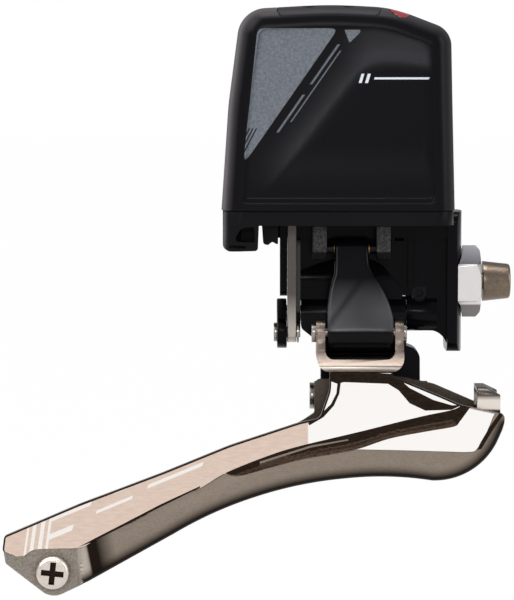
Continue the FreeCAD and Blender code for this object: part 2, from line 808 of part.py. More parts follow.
def outer_link():
    side = arm_x(
        outer_link_foot_left, outer_link_foot_right, outer_pivot, outer_barrel_radius,
        outer_foot, lower_barrel_radius)
    top = outer_pivot[1] + 4
    waist = outer_pivot[1] - 5.0
    knee = outer_pivot[1] - 12.3
    bottom = outer_foot[1] - 8
    front = prism_y([
        (outer_link_left, top, 0), (outer_link_left, waist, 5.0), (outer_link_foot_left, knee, 6.0),
        (outer_link_foot_left, bottom, 0), (outer_link_foot_right, bottom, 0),
        (outer_link_foot_right, knee, 6.0), (outer_link_right, waist + 1.5, 6.0), (outer_link_right, top, 0)],
        outer_foot[0] - 10, outer_pivot[0] + 8)
    link = side.common(front)
    link = link.cut(bar_x(-40, -10, outer_pivot, upper_pin_radius + bush_wall))
    return link.cut(bar_x(-40, -10, outer_foot, pin_radius + bush_wall))


def link_bushes():
    upper = upper_pin_radius + bush_wall
    lower = pin_radius + bush_wall
    bushes = []
    for x0, x1 in ((outer_link_left, outer_link_left + 3.5), (outer_link_right - 3.5, outer_link_right)):
        bushes.append(tube_x(x0, x1, outer_pivot, upper, upper_pin_radius + fit))
    for x0, x1 in ((outer_link_foot_left, outer_link_foot_left + 5), (outer_link_foot_right - 5, outer_link_foot_right)):
        bushes.append(tube_x(x0, x1, outer_foot, lower, pin_radius + fit))
    return Part.makeCompound(bushes)


def inner_link():
    side = arm_x(
        inner_link_left, inner_foot_right, inner_pivot, inner_barrel_radius, inner_foot, inner_foot_radius)
    front = prism_y([
        (inner_link_left, inner_pivot[1] + 6, 0), (inner_link_left, inner_pivot[1] - 3.4, 1.5),
        (inner_foot_left, inner_pivot[1] - 7.2, 2.0), (inner_foot_left, inner_foot[1] - 6, 0),
        (inner_foot_right, inner_foot[1] - 6, 0), (inner_foot_right, inner_pivot[1] - 8.8, 3.0),
        (inner_link_right, inner_pivot[1] - 7.6, 0), (inner_link_right, inner_pivot[1] + 6, 0)],
        inner_foot[0] - 8, inner_pivot[0] + 8)
    link = side.common(front)
    link = link.cut(bar_x(-50, 0, inner_pivot, shaft_radius))
    return link.cut(bar_x(-50, 0, inner_foot, pin_radius + bush_wall))


def inner_link_bushes():
    outer = pin_radius + bush_wall
    bushes = []
    for x0, x1 in ((inner_foot_left, inner_foot_left + 5), (inner_foot_right - 5, inner_foot_right)):
        bushes.append(tube_x(x0, x1, inner_foot, outer, pin_radius + open_fit))
    return Part.makeCompound(bushes)


def body_bushes():
    outer = shaft_radius + shaft_bush_wall
    left = tube_x(left_plate_x, left_plate_x + left_plate_thickness, inner_pivot, outer, shaft_radius + fit)
    right_end = right_boss_x + right_boss_length - 1.5
    right = tube_x(right_boss_x, right_end, inner_pivot, outer, shaft_radius + fit)
    return Part.makeCompound([left, right])


def inner_pivot_shaft():
    return bar_x(lever_x, right_boss_x + right_boss_length - 1.8, inner_pivot, shaft_radius)


def drive_lever():
    lever = arm_x(lever_x, lever_x + lever_thickness, inner_pivot, lever_hub_radius, lever_end, lever_end_radius)
    lever = lever.cut(bar_x(lever_x - 1, lever_x + lever_thickness + 1, inner_pivot, shaft_radius))
    return lever.cut(bar_x(lever_x - 1, lever_x + lever_thickness + 1, lever_end, lever_pin_radius))


def lever_pin():
    head = bar_x(lever_x - 0.8, lever_x, lever_end, 2.3)
    pin = bar_x(lever_x - 0.1, rod_x + rod_thickness + 1.0, lever_end, lever_pin_radius)
    return join(head, pin)


def rod_clip():
    start = rod_x + rod_thickness + 0.15
    return tube_x(start, start + 0.5, lever_end, 2.6, lever_pin_radius)


def drive_rod():
    rod = arm_x(rod_x, rod_x + rod_thickness, crank_end, rod_half_width, lever_end, rod_half_width + 0.01)
    rod = rod.cut(bar_x(rod_x - 1, rod_x + rod_thickness + 1, crank_end, crank_pin_radius + fit))
    return rod.cut(bar_x(rod_x - 1, rod_x + rod_thickness + 1, lever_end, lever_pin_radius + open_fit))


def crank_arm():
    crank = arm_x(crank_x, crank_x + crank_thickness, crank_centre, crank_hub_radius, crank_end, crank_end_radius)
    crank = crank.cut(bar_x(crank_x - 1, crank_x + crank_thickness + 1, crank_centre, output_shaft_radius))
    return crank.cut(bar_x(crank_x - 1, crank_x + crank_thickness + 1, crank_end, crank_pin_radius))


def crank_pin():
    head = bar_x(rod_x - 0.7, rod_x - 0.1, crank_end, 2.3)
    return join(head, bar_x(rod_x - 0.2, crank_x + crank_thickness, crank_end, crank_pin_radius))


def output_shaft():
    return bar_x(crank_x, frame_right_x + frame_thickness - 0.2, crank_centre, output_shaft_radius)


def upper_outer_pin():
    return bar_x(left_block_x, right_block_x + block_width, outer_pivot, upper_pin_radius)


def headed_pin(x0, x1, at, left_head, right_head):
    return join(
        bar_x(x0, x1, at, pin_radius),
        bar_x(x0 - rivet_head_height, x0, at, left_head),
        bar_x(x1, x1 + 0.8, at, right_head))


def upper_edge():
    # Upper edge of the outer cage plate, from the tail to the nose
    return [
        (-112.2, -63.0, 0.8), (-111.8, -59.9, 1.0), (-94.1, -52.3, 60.0), (-73.4, -44.4, 60.0),
        (-57.3, -37.8, 40.0), (-40.4, -32.2, 20.0), (-35.6, -31.2, 2.0), (-33.3, -24.5, 8.0),
        (-33.2, -19.8, 0.6), (-18.2, -19.8, 0.6), (-17.6, -21.2, 1.0), (-6.7, -25.7, 10.0),
        (-1.5, -28.0, 3.0), (8.9, -30.2, 1.2),
    ]


def lower_edge():
    # Lower edge of the outer cage plate, from the nose back to the tail
    return [
        (9.0, -33.1, 8.0), (3.1, -46.5, 16.6), (-8.3, -46.5, 3.0), (-19.0, -45.0, 80.0),
        (-40.8, -47.1, 96.0), (-61.6, -54.0, 96.0), (-71.0, -59.6, 20.0), (-91.5, -71.1, 15.0),
        (-100.5, -75.4, 4.6), (-111.6, -66.7, 1.0),
    ]


def outer_cage_plate():
    outline = upper_edge() + lower_edge()
    plate = prism_y(outline, plate_outer_face + panel_relief, plate_inner_face)
    panel = prism_y([
        (-111.9, -63.2, 0.5), (-111.6, -60.1, 0.8), (-94.1, -52.5, 60.0), (-73.4, -44.6, 60.0),
        (-57.3, -38.0, 40.0), (-40.4, -32.4, 20.0), (-35.4, -31.4, 2.0), (-33.1, -24.5, 8.0),
        (-33.0, -20.0, 0.5), (-18.4, -20.0, 0.5), (-17.4, -21.4, 1.0), (-6.7, -25.9, 10.0),
        (-1.9, -28.0, 0.8), (-4.0, -29.2, 1.0), (-11.9, -30.9, 20.0), (-25.9, -34.4, 20.0),
        (-40.4, -37.9, 20.0), (-48.1, -40.3, 20.0), (-58.2, -44.4, 20.0), (-71.1, -50.9, 40.0),
        (-84.9, -58.4, 40.0), (-93.2, -62.6, 2.0), (-106.7, -64.4, 1.0)],
        plate_outer_face, plate_outer_face + panel_relief + 0.1)
    nose = prism_y([
        (-26.3, -38.6, 0.3), (-18.7, -36.1, 4.0), (-3.3, -33.2, 4.0), (-0.9, -31.8, 2.0),
        (1.0, -29.0, 0.4), (7.7, -30.4, 0.8), (6.0, -31.3, 1.0), (4.3, -35.2, 4.0), (2.35, -38.7, 1.5),
        (0.0, -39.3, 1.0), (-16.3, -38.8, 10.0)],
        plate_outer_face, plate_outer_face + panel_relief + 0.1)
    recess = bar_y(
        plate_outer_face - 1, plate_outer_face + panel_relief + 0.2, tail_screw_x, tail_screw_z, 5.4)
    plate = join(plate, panel.cut(recess), nose)
    return plate.cut(bar_y(plate_outer_face - 1, plate_inner_face + 1, tail_screw_x, tail_screw_z, tail_screw_radius))


def inner_cage_plate():
    back = inner_plate_face + inner_plate_thickness
    outline = [
        (-107.0, -66.5, 1.5), (-107.0, -62.4, 1.5), (-94.1, -55.6, 60.0), (-73.4, -47.0, 60.0),
        (-57.3, -40.6, 40.0), (-40.4, -34.0, 20.0), (inner_left_ear, -31.4, 1.0),
        (inner_left_ear, -23.2, 1.5), (-16.0, -22.4, 2.0), (-7.4, -24.3, 10.0), (3.0, -28.8, 1.0),
        (7.0, -33.0, 8.0), (3.0, -44.6, 11.0), (-8.3, -46.0, 3.0), (-19.0, -44.6, 80.0),
        (-40.8, -46.7, 96.0), (-61.6, -53.6, 96.0), (-71.0, -59.2, 20.0), (-91.5, -70.6, 15.0),
        (-100.5, -74.4, 4.0),
    ]
    plate = prism_y(outline, inner_plate_face, back)
    cy, cz = inner_foot
    ear_outline = [
        (inner_plate_face, cz + 4.4, 0), (cy, cz + 3.2, 2.6), (cy + 3.2, cz + 3.2, 3.0),
        (cy + 3.2, cz - 3.2, 3.0), (cy, cz - 3.2, 2.6), (inner_plate_face, cz - 4.4, 0),
    ]
    left = prism_x(ear_outline, inner_left_ear, inner_left_ear + inner_ear_thickness)
    right = prism_x(ear_outline, inner_right_ear, inner_right_ear + inner_ear_thickness)
    plate = join(plate, left, right)
    plate = plate.cut(bar_x(inner_left_ear - 1, inner_right_ear + 3, inner_foot, pin_radius))
    return plate.cut(bar_y(inner_plate_face - 1, back + 1, tail_screw_x, tail_screw_z, tail_screw_radius))


def cage_bracket():
    by, bz = outer_foot
    behind = plate_inner_face
    left = bracket_left
    right = bracket_right
    flange_plate = box(left + 3.2, right - 3.2, behind, behind + bracket_thickness, -31.0, -19.2)
    web_bottom = -20.3
    web_line = [
        (behind, -20.0, 0), (behind, -18.9, 1.0), (by + 3.5, -17.2, 0),
        (by + 3.5, -18.7, 0), (behind + bracket_thickness, -20.3, 0.8)]
    web = prism_x(web_line, left, right)
    ear_outline = [
        (behind, -20.0, 0), (behind, -18.9, 1.0), (by - bracket_ear_radius - 0.6, bz - 3.0, 5.0),
        (by - bracket_ear_radius, bz + bracket_ear_radius, 3.2),
        (by + bracket_ear_radius, bz + bracket_ear_radius, 3.2), (by + 3.8, -17.2, 2.0),
        (by + 3.5, -18.7, 0), (behind + bracket_thickness, -20.3, 0)]
    bends = prism_y([
        (left, bz + 9, 0), (left, web_bottom, bracket_bend), (right, web_bottom, bracket_bend),
        (right, bz + 9, 0)], by - 10, by + 10)
    inner_bend = bracket_bend - bracket_thickness
    inside = prism_y([
        (left + bracket_ear_thickness, bz + 10, 0),
        (left + bracket_ear_thickness, web_bottom + 2 * bracket_thickness, inner_bend),
        (right - bracket_ear_thickness, web_bottom + 2 * bracket_thickness, inner_bend),
        (right - bracket_ear_thickness, bz + 10, 0)], by - 11, by + 11)
    cheeks = prism_x(ear_outline, left, right).cut(inside)
    bracket = join(flange_plate, join(web, cheeks).common(bends))
    return bracket.cut(bar_x(left - 1, right + 1, outer_foot, pin_radius))


def nose_bridge():
    # Bent strap that joins the two plates over the chain at the nose
    sheet = 1.2
    strap = [
        (plate_inner_face, -33.0, 0), (plate_inner_face, -23.9, 1.8), (inner_plate_face, -23.9, 1.8),
        (inner_plate_face, -31.5, 0), (inner_plate_face - sheet, -31.5, 0),
        (inner_plate_face - sheet, -23.9 - sheet, 0.6), (plate_inner_face + sheet, -23.9 - sheet, 0.6),
        (plate_inner_face + sheet, -33.0, 0)]
    bridge = prism_x(strap, 2.4, 8.0)
    slope = prism_y([(2.0, -23.0, 0), (2.0, -34.0, 0), (8.2, -34.0, 0), (8.2, -25.8, 0), (4.2, -23.8, 1.0),
                     (3.9, -23.0, 0)], plate_inner_face - 1, inner_plate_face + 1)
    return bridge.common(slope)


def tail_spacer():
    start = plate_inner_face
    end = inner_plate_face
    tube = bar_y(start, end, tail_screw_x, tail_screw_z, tail_spacer_radius)
    return tube.cut(bar_y(start - 1, end + 1, tail_screw_x, tail_screw_z, tail_screw_radius))


def tail_screw():
    face = plate_outer_face + panel_relief
    head = bar_y(face - tail_head_height, face, tail_screw_x, tail_screw_z, tail_head_radius)
    rim = [edge for edge in head.Edges if abs(edge.BoundBox.YMax - (face - tail_head_height)) < 1e-6]
    head = head.makeFillet(1.0, rim)
    shank_end = inner_plate_face + inner_plate_thickness
    screw = join(head, bar_y(face - 0.5, shank_end, tail_screw_x, tail_screw_z, tail_screw_radius))
    for turn in (6.0, 96.0):
        arm = box(tail_screw_x - 2.75, tail_screw_x + 2.75, face - tail_head_height - 1, face - 0.8,
                  tail_screw_z - 0.7, tail_screw_z + 0.7)
        arm.rotate(V(tail_screw_x, 0, tail_screw_z), V(0, 1, 0), turn)
        screw = screw.cut(arm)
    return screw


def clamp_washer():
    radius = washer_across_corners / 2
    points = []
    for i in range(6):
        angle = math.radians(90 + 60 * i)
        points.append((radius * math.cos(angle), radius * math.sin(angle), 0.6))
    nut = prism_x(points, -4.0, washer_outer_x)
    saddle = bar_z(-15, 15, -saddle_radius, 0, saddle_radius + slack)
    crown = Part.makeCone(radius + 8.2, radius - 1.2, 8.0, V(washer_outer_x - 8.0, 0, 0), V(1, 0, 0))
    nut = nut.cut(saddle).common(crown)
    return nut.cut(bar_x(-5, washer_outer_x + 1, (0, 0), washer_hole_radius))


def mount_bolt():
    thread = bar_x(-bolt_reach, 0.5, (0, 0), bolt_thread_radius)
    shank = bar_x(0, bolt_head_start + 0.5, (0, 0), bolt_shank_radius)
    head = Part.makeCone(
        bolt_head_radius, bolt_head_end_radius, bolt_head_length, V(bolt_head_start, 0, 0), V(1, 0, 0))
    end = bolt_head_start + bolt_head_length
    rim = [edge for edge in head.Edges if edge.BoundBox.XMin > end - 1e-6]
    head = head.makeFillet(0.7, rim)
    radius = bolt_socket / math.sqrt(3)
    points = [(radius * math.cos(math.radians(60 * i)), radius * math.sin(math.radians(60 * i)), 0) for i in range(6)]
    bolt = join(thread, shank, head)
    return bolt.cut(prism_x(points, end - bolt_socket_depth, end + 1))


def support_screw():
    screw = bar_y(web_front + 1.2, web_front + 1.2 + support_length, support_x, support_z, support_radius)
    radius = 2.0 / math.sqrt(3)
    points = [(support_x + radius * math.cos(math.radians(60 * i)), support_z + radius * math.sin(math.radians(60 * i)), 0)
              for i in range(6)]
    return screw.cut(prism_y(points, web_front, web_front + 3.2))


parts["main_body"] = main_body()
parts["pivot_blocks"] = Part.makeCompound([pivot_block(left_block_x), pivot_block(right_block_x)])
parts["seat_shim"] = seat_shim()
parts["upper_outer_pin"] = upper_outer_pin()
parts["body_bushes"] = body_bushes()
parts["body_screws"] = body_screws()
parts["housing_base"] = housing_base()
parts["housing_gasket"] = housing_gasket()
parts["housing_cap"] = housing_cap()
parts["housing_screws"] = housing_screws()
parts["top_lid"] = top_lid()
parts["lid_gasket"] = lid_gasket()
parts["lid_screws"] = lid_screws()
parts["rod_wiper_seal"] = rod_wiper_seal()
parts["power_button"] = power_button()
parts["output_gear"], parts["gear_2"], parts["gear_1"], parts["motor_pinion"] = gear_train()
parts["gear_frame_left"], parts["gear_frame_right"] = gear_frames()
parts["gear_frame_standoffs"] = standoffs()
parts["gear_pins"] = gear_pins()
parts["output_bushes"] = output_bushes()
parts["output_shaft"] = output_shaft()
parts["crank_arm"] = crank_arm()
parts["crank_pin"] = crank_pin()
can, end_cap, magnets, rotor_shaft, armature = motor()
parts["motor_can"] = can
parts["motor_end_cap"] = end_cap
parts["motor_magnets"] = magnets
parts["motor_shaft"] = rotor_shaft
parts["motor_armature"] = armature
parts["circuit_board"] = circuit_board()
parts["board_components"] = board_components()
parts["wire_socket"] = wire_socket()
parts["wire_grommet"] = wire_grommet()
parts["outer_link"] = outer_link()
parts["link_bushes"] = link_bushes()
parts["inner_link"] = inner_link()
parts["inner_link_bushes"] = inner_link_bushes()
parts["inner_pivot_shaft"] = inner_pivot_shaft()
parts["drive_lever"] = drive_lever()
parts["lever_pin"] = lever_pin()
parts["rod_clip"] = rod_clip()
parts["drive_rod"] = drive_rod()
parts["outer_cage_plate"] = outer_cage_plate()
parts["inner_cage_plate"] = inner_cage_plate()
parts["cage_bracket"] = cage_bracket()
parts["nose_bridge"] = nose_bridge()
parts["tail_spacer"] = tail_spacer()
parts["tail_screw"] = tail_screw()
parts["lower_outer_pin"] = headed_pin(
    bracket_left, bracket_right, outer_foot, rivet_head_radius, rivet_head_radius)
parts["lower_inner_pin"] = headed_pin(
    inner_left_ear, inner_right_ear + inner_ear_thickness, inner_foot, 3.25, rivet_head_radius)
parts["clamp_washer"] = clamp_washer()
parts["mount_bolt"] = mount_bolt()
parts["support_screw"] = support_screw()

for name, shape in parts.items():
    solids = len(shape.Solids)
    print(name, "solids", solids, "valid", shape.isValid(), "volume", round(shape.Volume, 1))
    shape.exportStep("parts/" + name + ".step")
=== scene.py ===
import json
import math
import bpy
import numpy as np
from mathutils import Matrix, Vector
from mathutils.geometry import delaunay_2d_cdt


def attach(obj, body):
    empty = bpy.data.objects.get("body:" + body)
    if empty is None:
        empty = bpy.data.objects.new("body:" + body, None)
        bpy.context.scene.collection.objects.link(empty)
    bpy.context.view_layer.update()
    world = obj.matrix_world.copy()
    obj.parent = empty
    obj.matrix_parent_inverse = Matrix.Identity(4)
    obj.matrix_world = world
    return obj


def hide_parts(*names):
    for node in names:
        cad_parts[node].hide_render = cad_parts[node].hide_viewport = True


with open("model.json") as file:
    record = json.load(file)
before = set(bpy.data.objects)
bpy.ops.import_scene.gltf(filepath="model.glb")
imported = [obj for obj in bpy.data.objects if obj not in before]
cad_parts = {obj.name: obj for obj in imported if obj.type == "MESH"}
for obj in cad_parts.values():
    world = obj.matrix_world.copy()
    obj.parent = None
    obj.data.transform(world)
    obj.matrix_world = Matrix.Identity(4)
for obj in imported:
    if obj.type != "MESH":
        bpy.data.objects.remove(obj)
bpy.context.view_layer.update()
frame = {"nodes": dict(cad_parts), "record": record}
mm = 0.001
print("frame loaded")


# camera, light and floor

view = {
    "target": (-50.7, 0.0, -4.75),  # point that the photograph's middle shows, in mm
    "distance": 700.0,
    "elevation": 5.0,
    "lens": 168.84,
}


def addCamera():
    tilt = math.radians(view["elevation"])
    back = Vector((0, -math.cos(tilt), math.sin(tilt)))
    data = bpy.data.cameras.new("camera")
    data.lens = view["lens"]
    data.sensor_width = 36
    data.clip_start = 0.01
    camera = bpy.data.objects.new("camera", data)
    bpy.context.scene.collection.objects.link(camera)
    camera.location = (Vector(view["target"]) + back * view["distance"]) * mm
    camera.rotation_euler = (-back).to_track_quat("-Z", "Y").to_euler()
    bpy.context.scene.camera = camera
    bpy.context.scene.view_settings.view_transform = "Standard"


lamps = [  # name, place in mm, size in mm, power in watts
    ("keyLamp", (-460, -330, 430), (380, 420), 3.4),
    ("fillLamp", (480, -240, 200), (220, 420), 1.3),
    ("topLamp", (-40, -60, 520), (300, 200), 1.9),
    ("cardLamp", (-60, -880, 265), (260, 130), 1.2),
    ("rimLamp", (-420, 240, 120), (160, 400), 1.0),
]


def addLamps():
    middle = Vector((-45, 0, 0))
    for name, place, size, power in lamps:
        data = bpy.data.lights.new(name, "AREA")
        data.shape = "RECTANGLE"
        data.size = size[0] * mm
        data.size_y = size[1] * mm
        data.energy = power
        lamp = bpy.data.objects.new(name, data)
        bpy.context.scene.collection.objects.link(lamp)
        lamp.location = Vector(place) * mm
        lamp.rotation_euler = (middle - Vector(place)).to_track_quat("-Z", "Y").to_euler()


# shader maths

class Val:  # a shader value that can be added, scaled and compared in plain expressions
    def __init__(self, finish, socket):
        self.finish = finish
        self.socket = socket

    def op(self, kind, *others, clamp=False):
        values = {i: value for i, value in enumerate((self,) + others)}
        node = self.finish.make("ShaderNodeMath", {"operation": kind, "use_clamp": clamp}, values)
        return Val(self.finish, node.outputs[0])

    def swapped(self, kind, other):
        node = self.finish.make("ShaderNodeMath", {"operation": kind}, {0: other, 1: self})
        return Val(self.finish, node.outputs[0])

    def __add__(self, other):
        return self.op("ADD", other)

    def __sub__(self, other):
        return self.op("SUBTRACT", other)

    def __mul__(self, other):
        return self.op("MULTIPLY", other)

    def __truediv__(self, other):
        return self.op("DIVIDE", other)

    def __radd__(self, other):
        return self.op("ADD", other)

    def __rsub__(self, other):
        return self.swapped("SUBTRACT", other)

    def __rmul__(self, other):
        return self.op("MULTIPLY", other)

    def __neg__(self):
        return self.op("MULTIPLY", -1.0)

    def step(self, width):  # 0 below zero, 1 above, soft over the width
        return (self / width + 0.5).op("ADD", 0.0, clamp=True)


class Nodes:
    def __init__(self, owner):
        owner.use_nodes = True
        self.tree = owner.node_tree
        self.tree.nodes.clear()

    def make(self, kind, settings=None, values=None):
        node = self.tree.nodes.new(kind)
        for name, value in (settings or {}).items():
            if name == "stops":
                self.setStops(node.color_ramp, value)
            else:
                setattr(node, name, value)
        self.fill(node, values or {})
        return node

    def setStops(self, ramp, stops):
        while len(ramp.elements) < len(stops):
            ramp.elements.new(0.5)
        for element, (place, colour) in zip(ramp.elements, stops):
            element.position = place
            element.color = (*colour, 1) if len(colour) == 3 else colour

    def fill(self, node, values):
        for name, value in values.items():
            socket = node.inputs[name]
            if isinstance(value, Val):
                self.tree.links.new(value.socket, socket)
            elif isinstance(value, bpy.types.NodeSocket):
                self.tree.links.new(value, socket)
            elif isinstance(value, tuple) and len(value) == 3 and socket.type == "RGBA":
                socket.default_value = (*value, 1)
            else:
                socket.default_value = value

    def val(self, socket):
        return Val(self, socket)


class Finish(Nodes):
    def __init__(self, name):
        self.material = bpy.data.materials.new(name)
        super().__init__(self.material)
        self.output = self.make("ShaderNodeOutputMaterial")
        self.shader = self.make("ShaderNodeBsdfPrincipled")
        self.fill(self.output, {0: self.shader.outputs[0]})

    def set(self, **values):
        self.fill(self.shader, {name.replace("_", " "): value for name, value in values.items()})

    def spot(self):  # the place in mm, in the frame of the part
        coord = self.make("ShaderNodeTexCoord")
        scaled = self.make(
            "ShaderNodeVectorMath", {"operation": "SCALE"}, {0: coord.outputs["Object"], "Scale": 1000.0})
        return scaled.outputs[0]

    def place(self):  # the same as x, y and z
        parts = self.make("ShaderNodeSeparateXYZ", None, {0: self.spot()})
        return [self.val(socket) for socket in parts.outputs]

    def noise(self, scale, detail=3.0, stretch=(1, 1, 1), rough=0.5):
        bent = self.make("ShaderNodeVectorMath", {"operation": "MULTIPLY"}, {0: self.spot(), 1: stretch})
        node = self.make(
            "ShaderNodeTexNoise", None,
            {"Vector": bent.outputs[0], "Scale": scale, "Detail": detail, "Roughness": rough})
        return self.val(node.outputs[0])

    def mix(self, share, low, high):
        node = self.make("ShaderNodeMix", {"data_type": "RGBA"})
        self.fillMix(node, share, low, high)
        return node.outputs["Result_Color"] if "Result_Color" in node.outputs else node.outputs[2]

    def fillMix(self, node, share, low, high):  # a share and two colours or links
        for index, value in ((0, share), (6, low), (7, high)):
            socket = node.inputs[index]
            if isinstance(value, Val):
                self.tree.links.new(value.socket, socket)
            elif isinstance(value, bpy.types.NodeSocket):
                self.tree.links.new(value, socket)
            elif index == 0:
                socket.default_value = value
            else:
                socket.default_value = (*value, 1)

    def bump(self, height, strength, distance):
        node = self.make(
            "ShaderNodeBump", None, {"Height": height, "Strength": strength, "Distance": distance * mm})
        self.fill(self.shader, {"Normal": node.outputs[0]})


def srgb(r, g, b):
    return tuple((v / 255 / 12.92) if v <= 10 else ((v / 255 + 0.055) / 1.055) ** 2.4 for v in (r, g, b))


# finishes

def metalFinish(name, light, dark, rough, grain, stretch, bumpSize, pit=None):
    finish = Finish(name)
    fine = finish.noise(grain, 4.0, stretch)
    broad = finish.noise(0.12, 2.0)
    share = (fine * 0.65 + broad * 0.35 - 0.3) * 1.6
    tone = finish.mix(share.op("ADD", 0.0, clamp=True), dark, light)
    finish.set(
        Base_Color=tone,
        Roughness=(fine - 0.5) * 0.25 + rough,
        Metallic=1.0)
    if pit is not None:  # x and z of a screw that faces the viewer, the depth and reach of its recess, which is given painted shade
        x, y, z = finish.place()
        away = ((x - pit[0]).op("POWER", 2.0) + (z - pit[1]).op("POWER", 2.0)).op("SQRT", 0.0)
        recessShade = (y - pit[2]).step(0.12) * (pit[3] - away).step(0.2)
        # painted shade: the cross recess is coloured dark brown below the given depth
        finish.set(Base_Color=finish.mix(recessShade, finish.val(tone), srgb(44, 34, 29)))
    finish.bump(fine, bumpSize, 0.05)
    return finish.material


def glossBlack():
    finish = Finish("glossBlack")
    peel = finish.noise(0.5, 2.0)
    dust = finish.noise(3.5, 3.0)
    finish.set(
        Base_Color=finish.mix(dust.op("ADD", -0.45, clamp=True) * 0.5, srgb(6, 6, 9), srgb(26, 25, 28)),
        Roughness=(dust - 0.5) * 0.08 + 0.2)
    finish.shader.inputs["Specular IOR Level"].default_value = 0.07
    finish.bump(peel, 0.05, 0.1)
    return finish.material


def linkPaintedSheen():
    finish = Finish("linkPaintedSheen")
    cloud = finish.noise(0.07, 1.0)
    grit = finish.noise(4.0, 3.0)
    x, _, z = finish.place()
    # painted sheen: the front-facing lower face is lighter from z 2 down to z -10.6, less so along a slanted fold line
    low = ((2.0 - z) / 8.0).op("ADD", 0.0, clamp=True) * (z + 10.6).step(0.5)
    fold = ((x + 26.5 - z * 0.75).op("ABSOLUTE") / -1.6 + 1.0).op("ADD", 0.0, clamp=True)
    coord = finish.make("ShaderNodeTexCoord")
    facing = finish.val(finish.make("ShaderNodeSeparateXYZ", None, {0: coord.outputs["Normal"]}).outputs[1])
    front = (-0.2 - facing).step(0.3)
    glow = (low * (1 - fold * 0.6) * front * (cloud * 1.1 + 0.25)).op("ADD", 0.0, clamp=True)
    finish.set(
        Base_Color=finish.mix(glow, srgb(7, 7, 9), srgb(74, 74, 76)),
        Roughness=(grit - 0.5) * 0.06 + 0.16)
    finish.shader.inputs["Specular IOR Level"].default_value = 0.1
    finish.bump(grit, 0.03, 0.03)
    return finish.material


def washerSteel():
    finish = Finish("washerSteel")
    fine = finish.noise(6.0, 4.0)
    z = finish.place()[2]
    # painted light and shade: the top facet gets a grey gradient and the foot below z -5.3 a darker tone
    upper = (z - 4.6).step(0.4)
    lower = (-5.3 - z).step(0.4)
    flat = finish.mix(fine, srgb(206, 202, 201), srgb(236, 231, 229))
    top = finish.mix((z - 4.5) / 5.0, srgb(110, 108, 112), srgb(178, 177, 182))
    foot = finish.mix(fine, srgb(96, 90, 89), srgb(128, 121, 120))
    withShadedTop = finish.mix(upper, finish.val(flat), finish.val(top))
    finish.set(
        Base_Color=finish.mix(lower, finish.val(withShadedTop), finish.val(foot)),
        Roughness=(fine - 0.5) * 0.25 + 0.36, Metallic=1.0)
    finish.bump(fine, 0.3, 0.05)
    return finish.material


def rolledSteel():
    finish = Finish("rolledSteel")
    grain = finish.noise(6.0, 4.0, (1, 1, 0.25))
    z = finish.place()[2]
    # painted highlight: the rod turns lighter towards the bottom
    lowerHighlight = ((-2.0 - z) / 12.0).op("ADD", 0.0, clamp=True)
    plain = finish.mix(grain, srgb(62, 58, 55), srgb(108, 102, 98))
    highlightTone = finish.mix(grain, srgb(168, 161, 154), srgb(220, 212, 204))
    finish.set(
        Base_Color=finish.mix(lowerHighlight, finish.val(plain), finish.val(highlightTone)),
        Roughness=(grain - 0.5) * 0.25 + 0.38, Metallic=1.0)
    finish.bump(grain, 0.35, 0.05)
    return finish.material


def bracketSteel():
    finish = Finish("bracketSteel")
    grain = finish.noise(5.0, 4.0, (1, 1, 0.4))
    z = finish.place()[2]
    # painted shade on the web just below the ears, lightening downwards, and a painted highlight line along the bend
    # near z -19.2
    web = (-15.2 - z).step(0.8)
    rim = ((z + 19.2).op("ABSOLUTE") / -0.35 + 1.4).op("ADD", 0.0, clamp=True)
    ear = finish.mix(grain, srgb(100, 90, 82), srgb(142, 130, 119))
    webShade = finish.mix((-15.4 - z) / 3.8, srgb(58, 50, 46), srgb(138, 126, 116))
    shaded = finish.mix(web, finish.val(ear), finish.val(webShade))
    finish.set(
        Base_Color=finish.mix(rim, finish.val(shaded), srgb(210, 200, 191)),
        Roughness=(grain - 0.5) * 0.25 + 0.34, Metallic=1.0)
    finish.bump(grain, 0.25, 0.05)
    return finish.material


def foldedTab():
    finish = Finish("foldedTab")
    fine = finish.noise(4.0, 4.0, (0.35, 1, 1))
    z = finish.place()[2]
    # painted highlight: a bright strip across the tab; painted shade: a dark foot below it
    highlightStrip = (z + 29.4).step(0.5) * (-26.4 - z).step(1.2)
    foot = (-29.3 - z).step(0.6)
    plain = finish.mix(fine, srgb(70, 64, 60), srgb(98, 91, 86))
    bright = finish.mix(highlightStrip, finish.val(plain), srgb(232, 222, 212))
    finish.set(
        Base_Color=finish.mix(foot, finish.val(bright), srgb(46, 38, 33)),
        Roughness=(fine - 0.5) * 0.2 + 0.36, Metallic=1.0)
    finish.bump(fine, 0.12, 0.04)
    return finish.material


def castBlack():
    finish = Finish("castBlack")
    grain = finish.noise(2.2, 4.0)
    finish.set(
        Base_Color=finish.mix(grain, srgb(6, 6, 8), srgb(20, 19, 21)),
        Roughness=(grain - 0.5) * 0.2 + 0.3)
    finish.shader.inputs["Specular IOR Level"].default_value = 0.06
    finish.bump(grain, 0.25, 0.06)
    return finish.material


def roughBlock():
    finish = Finish("roughBlock")
    grain = finish.noise(2.4, 5.0, rough=0.7)
    z = finish.place()[2]
    lit = (z - 8.3).step(0.3)
    grey = ((grain - 0.35) * 3.0).op("ADD", 0.0, clamp=True) * lit
    finish.set(Base_Color=finish.mix(grey, srgb(9, 9, 11), srgb(78, 75, 74)), Roughness=0.6)
    finish.shader.inputs["Specular IOR Level"].default_value = 0.2
    finish.bump(grain, 0.9, 0.25)
    return finish.material


